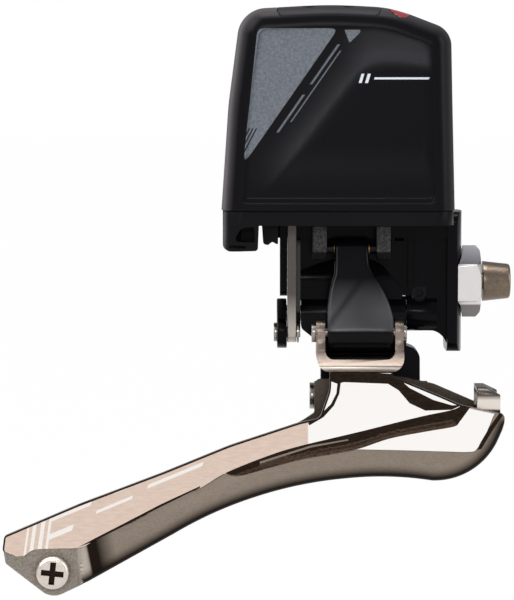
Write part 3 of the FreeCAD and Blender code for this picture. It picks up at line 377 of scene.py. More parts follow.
def mouldedBlack(name, low, high, rough, gritSize=5.0, gritDepth=0.18):
    finish = Finish(name)
    grit = finish.noise(gritSize, 3.0)
    broad = finish.noise(0.08, 2.0)
    finish.set(
        Base_Color=finish.mix(broad * 0.7 + grit * 0.3, low, high),
        Roughness=(grit - 0.5) * 0.15 + rough)
    finish.shader.inputs["Specular IOR Level"].default_value = 0.06
    finish.bump(grit, gritDepth, 0.04)
    return finish.material


field = {
    "top": 62.35,
    "left": (-50.5, 62.9, -54.0, 30.0),  # x, z at the top and at the foot of the left edge
    "slant": (-31.1, 62.6, -53.8, 30.0),
    "wedge": (-29.8, 62.0, -26.9, 58.9),
    "soft": 0.12,
    "edge": 2.4,
    "slits": (2.4, 4.0, 5.6),  # places of the dark slits at its lower tip, in mm above it
    "ticks": ((-26.0, -25.3), (-24.5, -23.8), (-22.6, -9.5)),  # slanted marks at the right
}


def half(x, z, x0, z0, x1, z1):  # distance in mm to the left of the line from the first point to the second
    length = math.hypot(x1 - x0, z1 - z0)
    nx = -(z1 - z0) / length
    nz = (x1 - x0) / length
    return (x - x0) * nx + (z - z0) * nz


def housingFront():
    finish = Finish("housingFront")
    x, y, z = finish.place()
    fx, fz, gx, gz = field["slant"]
    lx, lz, mx, mz = field["left"]
    slant = half(x, z, gx, gz, fx, fz)
    left = -half(x, z, mx, mz, lx, lz)
    top = field["top"] - z
    inside = slant.op("SMOOTH_MIN", left, field["edge"]).op("SMOOTH_MIN", top, field["edge"])
    grey = inside.step(field["soft"])
    wx, wz, vx, vz = field["wedge"]
    flagLeft = -half(x, z, vx - 1.7, vz, wx, wz)
    flagRight = half(x, z, vx - 1.7, vz, vx + 0.6, vz + 2.2)
    flag = flagLeft.op("SMOOTH_MIN", flagRight, 0.4).op("SMOOTH_MIN", wz - z, 0.4)
    flag = flag.op("SMOOTH_MIN", (vx + 0.9) - x, 0.6)
    grey = grey.op("MAXIMUM", flag.step(field["soft"]))
    for rise in field["slits"]:
        cut = ((z - mz - rise) - (x - mx) * 1.9).op("ABSOLUTE") - 0.32
        grey = grey * (cut.step(0.25) + (z - 38.5).step(0.4)).op("MINIMUM", 1.0)
    for offset, width, low, high in ((2.3, 0.5, 37.5, 46.5), (3.5, 0.3, 40.0, 57.0), (2.3, 0.5, 49.0, 58.5)):
        line = width / 2 - (slant + offset).op("ABSOLUTE")
        span = (z - low).op("MINIMUM", high - z)
        grey = grey.op("MAXIMUM", line.op("MINIMUM", span).step(field["soft"]) * 0.85)
    white = finish.val((z * 0.0).socket)
    for start, end in field["ticks"]:
        tall = 1.1 if end - start < 2 else 0.24
        bar = tall - (z - 50.4).op("ABSOLUTE")
        shift = (z - 50.4) * 0.3
        span = (x - shift - start).op("MINIMUM", end - x + shift)
        white = white.op("MAXIMUM", bar.op("MINIMUM", span).step(field["soft"]))
    front = (-20.6 - y).step(0.4)
    grey = grey * front
    flake = finish.noise(1.6, 4.0, rough=0.75)
    grit = finish.noise(5.0, 3.0)
    broad = finish.noise(0.05, 1.0)
    speckle = ((flake - 0.5) * 2.4 + 0.5).op("ADD", 0.0, clamp=True)
    paint = finish.mix(speckle, srgb(78, 82, 88), srgb(108, 112, 118))
    plastic = finish.mix(grit, srgb(9, 9, 11), srgb(15, 15, 17))
    rim = finish.mix(broad * 0.6 + grit * 0.4, srgb(58, 55, 57), srgb(84, 80, 82))
    sunk = finish.val(finish.make("ShaderNodeAttribute", {"attribute_name": "sunk"}).outputs["Fac"])
    # the fold attribute carries a painted sheen along the crease and at the upper right of the panel
    fold = finish.val(finish.make("ShaderNodeAttribute", {"attribute_name": "fold"}).outputs["Fac"])
    # the rounded rim has a satin finish, and its lighter tone is a painted highlight that grows towards the left
    satinRimAndHighlight = (y + 21.0).step(2.0) * (1 - sunk)
    side = ((-16.0 - x) / 40.0).op("ADD", 0.3, clamp=True) * 0.6 + 0.3
    glowing = finish.mix(fold, finish.val(plastic), srgb(46, 45, 48))
    shell = finish.mix(grit, srgb(20, 19, 21), srgb(28, 27, 29))
    outer = finish.mix((-15.0 - y).step(5.0), finish.val(shell), rim)
    body = finish.mix(satinRimAndHighlight * side, finish.val(glowing), finish.val(outer))
    marked = finish.mix(grey.op("MINIMUM", 1.0), body, paint)
    finish.set(
        Base_Color=finish.mix(white * front, finish.val(marked), srgb(196, 200, 204)),
        Roughness=satinRimAndHighlight * 0.22 + (grit - 0.5) * 0.12 + 0.26)
    finish.shader.inputs["Specular IOR Level"].default_value = 0.06
    finish.bump(grit * (satinRimAndHighlight + 0.15), 0.15, 0.05)
    return finish.material


etching = {  # plain blocks etched along the panel: start, end, low and high edge, lean
    "turn": math.radians(22.6),
    "blocks": (
        (-112.7, -112.1, -30.0, -9.0, 0.6), (-111.2, -110.2, -30.0, -9.0, 0.6),
        (-109.0, -107.9, -30.0, -9.0, 0.6), (-106.9, -106.2, -30.0, -9.0, 0.6),
        (-103.0, -92.0, -13.4, -12.6, 0.9), (-101.5, -95.0, -17.3, -16.1, 0.9),
        (-89.5, -80.0, -15.8, -15.1, 0.9), (-86.0, -71.5, -13.0, -12.2, 0.9), 
        (-76.5, -62.0, -14.9, -14.1, 0.9), (-68.0, -55.5, -12.3, -11.5, 0.9)),
}


def polishedPlate():
    finish = Finish("polishedPlate")
    fine = finish.noise(1.6, 3.0, (0.25, 1, 1))
    x, _, z = finish.place()
    tail = (-38.4 - x).step(0.3)
    etch = ((fine - 0.5) * 1.2 + 0.5).op("ADD", 0.0, clamp=True)
    along = x * math.cos(etching["turn"]) + z * math.sin(etching["turn"])
    across = z * math.cos(etching["turn"]) - x * math.sin(etching["turn"])
    bright = finish.val((z * 0.0).socket)
    for start, end, low, high, lean in etching["blocks"]:
        slide = along - across * lean
        length = (slide - start).op("MINIMUM", end - slide)
        box = length.op("MINIMUM", across - low).op("MINIMUM", high - across)
        bright = bright.op("MAXIMUM", box.step(0.15))
    pink = finish.mix(etch, srgb(214, 190, 174), srgb(238, 216, 202))
    warm = finish.mix(bright, finish.val(pink), srgb(250, 244, 238))
    finish.set(
        Base_Color=finish.mix(tail, srgb(250, 247, 244), finish.val(warm)),
        Roughness=tail * 0.16 + (fine - 0.5) * 0.05 + 0.08,
        Metallic=1.0)
    finish.bump(fine, 0.02, 0.05)
    return finish.material


def satinBand():
    finish = Finish("satinBand")
    fine = finish.noise(4.5, 4.0, (0.35, 1, 1))
    node = finish.make("ShaderNodeAttribute", {"attribute_name": "roll"})
    roll = finish.val(node.outputs["Fac"])
    x, _, z = finish.place()
    # painted reflection on the tail bend: a lighter highlight band, then a dark fold band
    slope = x + z * 0.2 + 104.4
    glow = ((slope + 1.6).op("ABSOLUTE") / -1.4 + 1.5).op("ADD", 0.0, clamp=True)
    fold = slope.step(0.5) * ((7.0 - slope) / 4.6).op("ADD", 0.0, clamp=True)
    block = (-94.2 - x).step(0.5)
    plain = finish.mix(fine, srgb(124, 112, 101), srgb(158, 145, 132))
    glowing = finish.mix(glow, finish.val(plain), srgb(188, 177, 165))
    withFoldReflection = finish.mix(fold, finish.val(glowing), srgb(34, 27, 23))
    speck = finish.noise(2.2, 5.0, rough=0.8)
    coarse = ((speck - 0.5) * 2.5 + 0.5).op("ADD", 0.0, clamp=True)
    blasted = finish.mix(coarse, srgb(118, 110, 101), srgb(186, 177, 166))
    metal = finish.mix(block, finish.val(withFoldReflection), finish.val(blasted))
    finish.set(
        # painted shade from the roll attribute
        Base_Color=finish.mix(roll, finish.val(metal), srgb(30, 24, 20)),
        Roughness=(fine - 0.5) * 0.2 + 0.4,
        Metallic=1.0)
    finish.bump(fine, 0.12, 0.04)
    return finish.material


# painted dark reflection for the plate's groove, its dark bands and its top edge line
def darkReflectionPaint():
    finish = Finish("darkReflectionPaint")
    fine = finish.noise(2.5, 3.0, (0.3, 1, 1))
    finish.set(
        Base_Color=finish.mix(fine, srgb(14, 10, 8), srgb(58, 46, 38)),
        Roughness=(fine - 0.5) * 0.15 + 0.3,
        Metallic=1.0)
    finish.bump(fine, 0.08, 0.04)
    return finish.material


def redLens():
    finish = Finish("redLens")
    cloud = finish.noise(0.9, 2.0)
    finish.set(
        Base_Color=finish.mix(cloud, srgb(92, 16, 26), srgb(134, 30, 40)),
        Roughness=0.28)
    return finish.material


def circuitGreen():
    finish = Finish("circuitGreen")
    tracks = finish.noise(1.4, 1.0)
    share = ((tracks - 0.5) * 9.0).op("ADD", 0.5, clamp=True)
    finish.set(
        Base_Color=finish.mix(share, srgb(18, 70, 42), srgb(30, 104, 62)),
        Roughness=0.35)
    return finish.material


metals = {  # name, light and dark tone, roughness, size of the grain, its stretch, height of the bumps
    "gold_shim": ("goldSheet", (205, 190, 130), (130, 112, 60), 0.3, 2.5, (1, 1, 1), 0.1),
    "steel_pin": ("turnedSteel", (196, 190, 184), (120, 114, 108), 0.28, 3.0, (3, 1, 1), 0.15),
    "bronze_bush": ("bronze", (176, 138, 90), (110, 80, 48), 0.4, 3.0, (1, 1, 1), 0.3),
    "black_screw": ("blackSteel", (52, 50, 50), (20, 20, 21), 0.42, 3.0, (1, 1, 1), 0.3),
    "gear_steel": ("sinteredSteel", (160, 156, 152), (96, 92, 88), 0.45, 4.0, (1, 1, 1), 0.4),
    "frame_steel": ("sheetSteel", (190, 188, 186), (130, 128, 126), 0.32, 1.5, (1, 0.2, 1), 0.1),
    "motor_steel": ("drawnCan", (200, 198, 196), (140, 138, 136), 0.25, 1.5, (0.2, 1, 1), 0.08),
    "armature_red": ("lacquer", (150, 70, 48), (84, 36, 26), 0.4, 2.0, (6, 1, 1), 0.3),
    "leverBlack": ("leverBlack", (30, 29, 30), (12, 12, 13), 0.3, 2.0, (1, 1, 1), 0.2),
    "plate_satin": ("satinSteel", (118, 108, 99), (78, 70, 63), 0.4, 4.0, (0.3, 1, 1), 0.2),
    "screw_bright": ("brightZinc", (244, 234, 224), (212, 201, 191), 0.42, 2.0, (1, 1, 1), 0.02),
    "bolt_bronze": ("bronzeGrey", (150, 134, 118), (94, 82, 71), 0.34, 4.0, (0.3, 1, 1), 0.2),
}
plastics = {  # name, dark and light tone, roughness, size and height of the grit
    "housing_black": ("mouldedBlack", (9, 9, 11), (17, 16, 18), 0.36),
    "lid_black": ("lidBlack", (34, 32, 34), (48, 46, 48), 0.42),
    "seal_rubber": ("sealRubber", (16, 16, 16), (30, 30, 30), 0.75, 3.0, 0.3),
    "motor_plastic": ("ivoryPlastic", (214, 208, 192), (230, 226, 212), 0.45),
    "magnet_grey": ("ferrite", (48, 48, 50), (74, 73, 74), 0.6, 2.0, 0.5),
    "chip_black": ("chipBlack", (26, 26, 28), (40, 40, 42), 0.5),
}
# painted shade in the cross recess of the tail screw: x, z, depth and reach
screwRecessShade = {"screw_bright": (-100.1, -68.7, -26.2, 3.0)}


def makeFinishes():
    made = {
        "black_cast": castBlack(),
        "gloss": glossBlack(),
        "rough_cast": roughBlock(),
        "red_button": redLens(),
        "board_green": circuitGreen(),
        "rod_steel": rolledSteel(),
        "linkPaintedSheen": linkPaintedSheen(),
        "tab": foldedTab(),
        "bracket_satin": bracketSteel(),
        "washer_steel": washerSteel(),
        "housingFront": housingFront(),
        "polished": polishedPlate(),
        "band": satinBand(),
        "groove": darkReflectionPaint(),
    }
    for slot, (name, light, dark, *rest) in metals.items():
        made[slot] = metalFinish(name, srgb(*light), srgb(*dark), *rest, pit=screwRecessShade.get(slot))
    for slot, (name, dark, light, *rest) in plastics.items():
        made[slot] = mouldedBlack(name, srgb(*dark), srgb(*light), *rest)
    return made


finishes = makeFinishes()
print("finishes made")


# outlines and sheets

def roundedLine(points, step, closed=True):
    line = []
    count = len(points)
    for i in range(count):
        here = np.array(points[i][:2], float)
        radius = points[i][2] if len(points[i]) > 2 else 0
        if radius <= 0 or (not closed and i in (0, count - 1)):
            line.append(here)
            continue
        back = np.array(points[i - 1][:2], float) - here
        ahead = np.array(points[(i + 1) % count][:2], float) - here
        back /= np.linalg.norm(back)
        ahead /= np.linalg.norm(ahead)
        turn = math.acos(max(-1, min(1, float(back @ ahead))))
        if math.pi - turn < 0.002:
            continue
        middle = (back + ahead) / np.linalg.norm(back + ahead)
        centre = here + middle * radius / math.sin(turn / 2)
        first = here + back * radius / math.tan(turn / 2) - centre
        last = here + ahead * radius / math.tan(turn / 2) - centre
        start = math.atan2(first[1], first[0])
        sweep = math.atan2(last[1], last[0]) - start
        sweep = (sweep + math.pi) % (2 * math.pi) - math.pi
        turns = max(2, int(abs(sweep) * radius / step) + 1, int(abs(sweep) / 0.2) + 1)
        for k in range(turns + 1):
            angle = start + sweep * k / turns
            line.append(centre + radius * np.array((math.cos(angle), math.sin(angle))))
    return spread(np.array(line), step, closed)


def spread(line, step, closed):
    spots = []
    count = len(line)
    last = count if closed else count - 1
    for i in range(last):
        start = line[i]
        end = line[(i + 1) % count]
        pieces = max(1, int(round(np.linalg.norm(end - start) / step)))
        if np.linalg.norm(end - start) < 1e-6:
            continue
        for k in range(pieces):
            spots.append(start + (end - start) * k / pieces)
    if not closed:
        spots.append(line[-1])
    return np.array(spots)


def flowLine(points, step):  # a smooth line through the points
    points = np.array(points, float)
    ends = np.vstack([2 * points[0] - points[1], points, 2 * points[-1] - points[-2]])
    spots = []
    for i in range(1, len(ends) - 2):
        a, b, c, d = ends[i - 1:i + 3]
        pieces = max(1, int(np.linalg.norm(c - b) / step))
        for k in range(pieces):
            t = k / pieces
            spots.append(0.5 * ((2 * b) + (c - a) * t + (2 * a - 5 * b + 4 * c - d) * t * t
                                + (3 * b - a - 3 * c + d) * t ** 3))
    spots.append(points[-1])
    return np.array(spots)


def distanceTo(spots, line, closed=False):
    ends = np.roll(line, -1, axis=0) if closed else line[1:]
    starts = line if closed else line[:-1]
    best = np.full(len(spots), 1e9)
    for a, b in zip(starts, ends):
        span = b - a
        size = float(span @ span)
        if size < 1e-12:
            continue
        t = np.clip(((spots - a) @ span) / size, 0, 1)
        away = spots - a - t[:, None] * span
        best = np.minimum(best, np.einsum("ij,ij->i", away, away))
    return np.sqrt(best)


def isInside(spots, line):
    x, z = spots[:, 0], spots[:, 1]
    inside = np.zeros(len(spots), bool)
    x0, z0 = line[-1]
    for x1, z1 in line:
        crosses = (z0 > z) != (z1 > z)
        if z1 != z0:
            cut = x0 + (z - z0) * (x1 - x0) / (z1 - z0)
            inside ^= crosses & (x < cut)
        x0, z0 = x1, z1
    return inside


def offsetLine(line, away, closed):
    ahead = np.roll(line, -1, axis=0) - line
    back = line - np.roll(line, 1, axis=0)
    if not closed:
        ahead[-1] = back[-1]
        back[0] = ahead[0]
    run = ahead / np.linalg.norm(ahead, axis=1)[:, None] + back / np.linalg.norm(back, axis=1)[:, None]
    run /= np.maximum(np.linalg.norm(run, axis=1)[:, None], 1e-6)
    return line + away * np.stack([-run[:, 1], run[:, 0]], axis=1)


def sheetMesh(outline, creases, grain, extra=()):  # a fine flat net inside the outline, in x and z
    low, high = outline.min(axis=0), outline.max(axis=0)
    rows = []
    for j, z in enumerate(np.arange(low[1], high[1], grain * 0.87)):
        xs = np.arange(low[0] + (j % 2) * grain / 2, high[0], grain)
        rows.append(np.stack([xs, np.full(len(xs), z)], axis=1))
    spots = np.vstack(rows)
    spots = spots[isInside(spots, outline)]
    spots = spots[distanceTo(spots, outline, True) > grain * 0.55]
    for line in creases:
        spots = spots[distanceTo(spots, line) > grain * 0.5]
    for ring in extra:
        ring = ring[isInside(ring, outline)]
        spots = np.vstack([spots, ring])
    count = len(outline)
    verts = [tuple(p) for p in outline]
    edges = [(i, (i + 1) % count) for i in range(count)]
    for line in creases:
        start = len(verts)
        verts += [tuple(p) for p in line]
        edges += [(start + i, start + i + 1) for i in range(len(line) - 1)]
    verts += [tuple(p) for p in spots]
    found = delaunay_2d_cdt([Vector(v) for v in verts], edges, [], 0, 1e-5)
    flat = np.array([tuple(v) for v in found[0]])
    faces = np.array([tuple(f) for f in found[2] if len(f) == 3])
    middles = flat[faces].mean(axis=1)
    faces = faces[isInside(middles, outline)]
    a, b, c = (flat[faces[:, k]] for k in range(3))
    area = (b[:, 0] - a[:, 0]) * (c[:, 1] - a[:, 1]) - (b[:, 1] - a[:, 1]) * (c[:, 0] - a[:, 0])
    faces[area < 0] = faces[area < 0][:, ::-1]
    faces = faces[np.abs(area) > 1e-9]
    return flat, faces


def addPiece(name, body, verts, faces, materials, faceSlots=None, smooth=True, replaced=()):
    mesh = bpy.data.meshes.new(name)
    mesh.from_pydata([tuple(float(c) * mm for c in v) for v in verts], [], [list(map(int, f)) for f in faces])
    for material in materials:
        mesh.materials.append(material)
    if faceSlots is not None:
        mesh.polygons.foreach_set("material_index", np.array(faceSlots, np.int32))
    mesh.polygons.foreach_set("use_smooth", np.full(len(mesh.polygons), smooth))
    mesh.validate()
    mesh.update()
    piece = bpy.data.objects.new(name, mesh)
    bpy.context.scene.collection.objects.link(piece)
    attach(piece, body)
    for node in replaced:
        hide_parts(node)
    return piece


def softenEdges(piece, angle=35.0):
    modifier = piece.modifiers.new("edges", "EDGE_SPLIT")
    modifier.split_angle = math.radians(angle)
    modifier.use_edge_sharp = False


# outer cage plate

plate = {
    "face": -25.0,
    "back": -23.4,
    "grain": 0.6,
    "upper": [
        (-112.2, -63.0, 0.8), (-111.8, -59.9, 1.0), (-94.1, -52.3, 60.0), (-73.4, -44.4, 60.0),
        (-57.3, -37.8, 40.0), (-40.4, -32.2, 20.0), (-35.6, -31.2, 2.0), (-33.3, -24.5, 8.0),
        (-33.2, -19.8, 0.6), (-18.2, -19.8, 0.6), (-17.6, -21.2, 1.0), (-6.7, -25.7, 10.0),
        (-1.5, -28.0, 3.0), (8.9, -30.2, 1.2)],
    "lower": [
        (9.0, -33.1, 8.0), (3.1, -46.5, 16.6), (-8.3, -46.5, 3.0), (-19.0, -45.0, 80.0),
        (-40.8, -47.1, 96.0), (-61.6, -54.0, 96.0), (-71.0, -59.6, 20.0), (-91.5, -71.1, 15.0),
        (-100.5, -75.4, 4.6), (-111.6, -66.7, 1.0)],
    "panelFoot": [  # lower edge of the upper polished panel, from the tail to the nose
        (-106.9, -64.6), (-104.5, -63.2), (-99.5, -62.9), (-93.2, -62.6), (-89.5, -60.5), (-84.9, -58.4),
        (-78.0, -54.9), (-71.1, -50.9), (-64.4, -48.1), (-58.2, -44.4), (-48.1, -40.3), (-40.4, -37.9),
        (-25.9, -34.4), (-11.9, -30.9), (-4.0, -29.2), (-1.6, -28.2)],
    "grooveFoot": [
        (-58.2, -44.6), (-55.0, -45.1), (-48.0, -43.2), (-40.4, -41.2), (-33.0, -39.9), (-26.3, -38.6),
        (-18.7, -36.1), (-10.0, -34.4), (-3.3, -33.2), (-1.9, -32.0), (0.5, -28.7)],
    "noseFoot": [
        (-26.3, -38.7), (-16.3, -38.9), (-5.6, -39.2), (0.6, -39.3), (2.35, -38.5), (4.3, -35.2),
        (6.0, -31.1), (6.5, -30.0)],
    "dark": [  # outlines of the painted dark reflection bands on the polished sheet, as x and z
        [(-33.4, -19.6), (-17.9, -20.4), (-14.0, -23.8), (-8.3, -26.7), (-3.8, -28.0), (-1.2, -27.9),
         (-3.8, -29.1), (-10.2, -29.3), (-14.0, -27.5), (-16.6, -24.4), (-19.2, -22.8), (-29.8, -22.4), (-31.4, -22.8),
         (-33.2, -22.1)],
        [(-31.3, -22.1), (-31.6, -25.1), (-32.9, -27.7), (-35.5, -30.3), (-38.4, -32.3), (-38.1, -32.9),
         (-34.7, -30.9), (-32.2, -28.1), (-30.9, -25.2), (-30.5, -22.1)],
        [(-94.0, -62.6), (-90.3, -60.6), (-82.2, -56.4), (-74.0, -52.1), (-64.4, -47.6), (-64.5, -48.1),
         (-74.0, -52.8), (-82.2, -57.1), (-90.3, -61.2)],
        [(7.9, -29.6), (5.3, -33.3), (3.0, -37.3), (2.3, -38.9), (3.4, -38.6), (6.2, -33.9), (8.7, -30.2)],
    ],
    "streak": [
        (-50.0, -41.7), (-37.7, -37.8), (-28.8, -36.3), (-28.6, -36.6), (-37.7, -38.3), (-50.0, -42.3)],
    "edgeLine": 0.42,
    "roll": 2.2,
    "screw": (-100.1, -68.7),
    "recess": 6.2,
}


def smooth(t):
    t = np.clip(t, 0, 1)
    return t * t * (3 - 2 * t)


def outerPlate():
    step = 0.5
    outline = roundedLine(plate["upper"] + plate["lower"], step)
    panelFoot = flowLine(plate["panelFoot"], step)
    grooveFoot = flowLine(plate["grooveFoot"], step)
    noseFoot = flowLine(plate["noseFoot"], step)
    tailEdge = np.array([(-112.6, -63.4), (-108.6, -65.0), (-106.9, -64.6)])
    tailLine = spread(tailEdge, step, False)
    creases = [panelFoot, grooveFoot, noseFoot, tailLine]
    reflectionBands = [spread(np.array(points), step, True) for points in plate["dark"]]
    streak = spread(np.array(plate["streak"]), step, True)
    x0, x1 = outline[:, 0], np.roll(outline[:, 0], -1)
    z0, z1 = outline[:, 1], np.roll(outline[:, 1], -1)
    turn = 1 if np.sum(x0 * z1 - x1 * z0) > 0 else -1
    inner = offsetLine(outline, turn * plate["edgeLine"], True)
    for ring in reflectionBands + [streak, inner]:
        ring = ring[isInside(ring, outline)]
        creases.append(ring[distanceTo(ring, outline, True) > 0.05])
    extra = []
    for line in (panelFoot, grooveFoot, noseFoot, tailLine):
        extra += [offsetLine(line, away, False) for away in (-0.16, 0.16)]
    for away in (0.15, 0.75, 1.2):
        extra.append(offsetLine(outline, turn * away, True))
    angles = np.linspace(0, 2 * math.pi, 80, endpoint=False)
    ring = np.stack([np.cos(angles), np.sin(angles)], axis=1)
    for radius in (plate["recess"], plate["recess"] - 0.35):
        extra.append(np.array(plate["screw"]) + ring * radius)
    flat, faces = sheetMesh(outline, creases, plate["grain"], extra)
    upperPanel = np.vstack([panelFoot, (-1.0, -27.0), (-4, -20), (-16, -10), (-40, -10), (-120, -50),
                            (-114, -62.2), tailLine[:-1]])
    nosePanel = np.vstack([noseFoot, (0.5, -28.7), grooveFoot[::-1][: len(grooveFoot) // 2]])
    middles = flat[faces].mean(axis=1)
    inPanel = isInside(middles, upperPanel)
    inNose = isInside(middles, nosePanel) & ~inPanel
    belowGroove = isInside(middles, np.vstack([grooveFoot, (12, -20), (12, -80), (-58.2, -80)]))
    abovePanel = isInside(middles, np.vstack([panelFoot, (12, -20), (12, -80), (-106.9, -80)]))
    inGroove = abovePanel & ~belowGroove & ~inPanel & ~inNose
    inGroove &= (middles[:, 0] > -58.2) & (middles[:, 0] < 0.6)
    kinds = np.full(len(faces), 2)
    kinds[inPanel] = 0
    kinds[inNose] = 0
    # the groove, the dark bands and the edge line get the painted dark reflections of slot 1
    kinds[inGroove] = 1
    for ring in reflectionBands:
        kinds[isInside(middles, ring)] = 1
    kinds[isInside(middles, streak) & inGroove] = 2
    # painted dark reflection: a thin dark line along the polished panel's outer edge
    darkEdgeLine = (distanceTo(middles, outline, True) < plate["edgeLine"]) & inPanel
    kinds[darkEdgeLine] = 1

    edge = distanceTo(flat, outline, True)
    lowerLine = roundedLine(plate["lower"], step, False)
    lower = distanceTo(flat, lowerLine[: -30])
    toPanel = distanceTo(flat, panelFoot)
    toGroove = distanceTo(flat, grooveFoot)
    onNoseEdge = (distanceTo(flat, noseFoot) < 0.02) | (toGroove < 0.02)
    pointPanel = isInside(flat, upperPanel) | (toPanel < 0.02)
    pointNose = isInside(flat, nosePanel) & ~pointPanel & ~onNoseEdge
    pointGroove = np.zeros(len(flat), bool)
    pointGroove[np.unique(faces[inGroove])] = True
    pointGroove &= ~pointPanel & ~pointNose & (toGroove > 0.02)
    depth = np.full(len(flat), 0.42)  # how far each spot lies behind the front face
    band = ~pointPanel & ~pointNose & ~pointGroove
    depth[band] = 0.5 - 0.28 * smooth((toPanel[band]) / 4.0)
    roll = plate["roll"]
    near = np.clip(lower, 0, roll)
    fall = roll - np.sqrt(np.maximum(roll ** 2 - (roll - near) ** 2, 0))
    rolled = band & (flat[:, 0] > -95)
    depth[rolled] += fall[rolled] * 0.75
    depth[pointPanel] = 0.05 + 0.1 * (1 - smooth(toPanel[pointPanel] / 0.3))
    depth[pointNose] = 0.06
    depth[onNoseEdge & ~pointPanel] = 0.06
    valley = np.minimum(toPanel, toGroove)
    inGap = valley[pointGroove]
    depth[pointGroove] = 0.06 + np.minimum(inGap, 0.16) + 0.5 * smooth((inGap - 0.16) / 1.8)
    away = np.linalg.norm(flat - np.array(plate["screw"]), axis=1)
    tail = ~pointPanel & (flat[:, 0] < -93)
    depth[tail] = 0.55 + 0.1 * smooth((plate["recess"] - away[tail]) / 0.4)
    tailEdgeFall = 0.5 * (1 - smooth(edge / 0.5))
    depth[tail] += tailEdgeFall[tail]
    depth = np.clip(depth, 0, plate["back"] - plate["face"] - 0.1)

    count = len(flat)
    front = np.column_stack([flat[:, 0], plate["face"] + depth, flat[:, 1]])
    rim = len(outline)
    wall = np.column_stack([outline[:, 0], np.full(rim, plate["back"]), outline[:, 1]])
    verts = np.vstack([front, wall, wall])
    allFaces = [tuple(f) for f in faces]
    slots = list(kinds)
    for i in range(rim):
        j = (i + 1) % rim
        allFaces.append((j, i, count + i, count + j))
        slots.append(2)
    allFaces.append(tuple(range(count + rim, count + 2 * rim))[::-1])
    slots.append(2)
    piece = addPiece(
        "outerPlate", "cage", verts, allFaces,
        [finishes["polished"], finishes["groove"], finishes["band"]], slots,
        replaced=["outer_cage_plate"])
    # painted shade: the roll attribute darkens the rolled lower edge, the plate's side walls and the ring round the
    # tail screw
    rollShade = np.clip(1.15 - 1.15 * smooth(lower / 3.4), 0, 1)
    share = np.concatenate([np.where(band, rollShade, 0), np.full(2 * rim, 0.5)])
    share[:count][tail] = 0.15 + 0.25 * (1 - smooth((away[tail] - 4.0) / 1.5))
    layer = piece.data.attributes.new("roll", "FLOAT", "POINT")
    layer.data.foreach_set("value", share.astype(np.float32))
    softenEdges(piece, 28)
    return piece


# housing cap

cap = {
    "left": -59.3,
    "right": -2.9,
    "top": 68.1,
    "seam": 18.7,
    "front": -22.5,
    "back": 8.0,
    "frontRound": 5.0,
    "backRound": 4.0,
    "panel": [  # edge of the sunk front panel: x, z and corner radius
        (-54.4, 20.9, 1.5), (-51.4, 62.9, 3.5), (-21.0, 63.2, 20.0), (-8.6, 59.4, 4.0), (-7.4, 20.9, 2.0)],
    "panelDepth": 0.5,
    "crease": [
        (-8.0, 53.6), (-14.0, 54.6), (-20.0, 55.0), (-24.6, 53.6), (-28.6, 49.8), (-38.0, 37.6), (-49.0, 23.4)],
    "creaseDepth": 0.55,
    "lid": (-45.9, -21.0, -21.6, 2.1),  # x and y range of the pocket for the lid
    "lidCorner": 1.7,
    "lidPocket": 1.3,
    "button": (-16.4, -18.5, 2.4),
}


def capOutline(step):
    left, right, top, seam = (cap[key] for key in ("left", "right", "top", "seam"))
    width = right - left
    points = [
        (left, seam), (left + 1.7, seam + 25.3, 60.0), (left + 4.7, top - 1.2, 7.0),
        (left + 0.462 * width, top, 2.1 * width), (right - 0.27 * width, top - 0.8, 0.53 * width),
        (right - 1.1, top - 6.2, 5.5), (right - 0.7, seam + 26.3, 60.0), (right, seam)]
    line = roundedLine(points, step, False)
    lidXs = [cap["lid"][0], cap["lid"][1]]
    high = [i for i in range(len(line)) if line[i][1] > 60]
    spots = []
    for i in range(len(line) - 1):
        spots.append(line[i])
        if i in high:
            for x in sorted([x + d for x in lidXs for d in (-0.09, 0.09)]):
                if line[i][0] < x < line[i + 1][0]:
                    t = (x - line[i][0]) / (line[i + 1][0] - line[i][0])
                    spots.append(line[i] + (line[i + 1] - line[i]) * t)
    spots.append(line[-1])
    return np.array(spots)


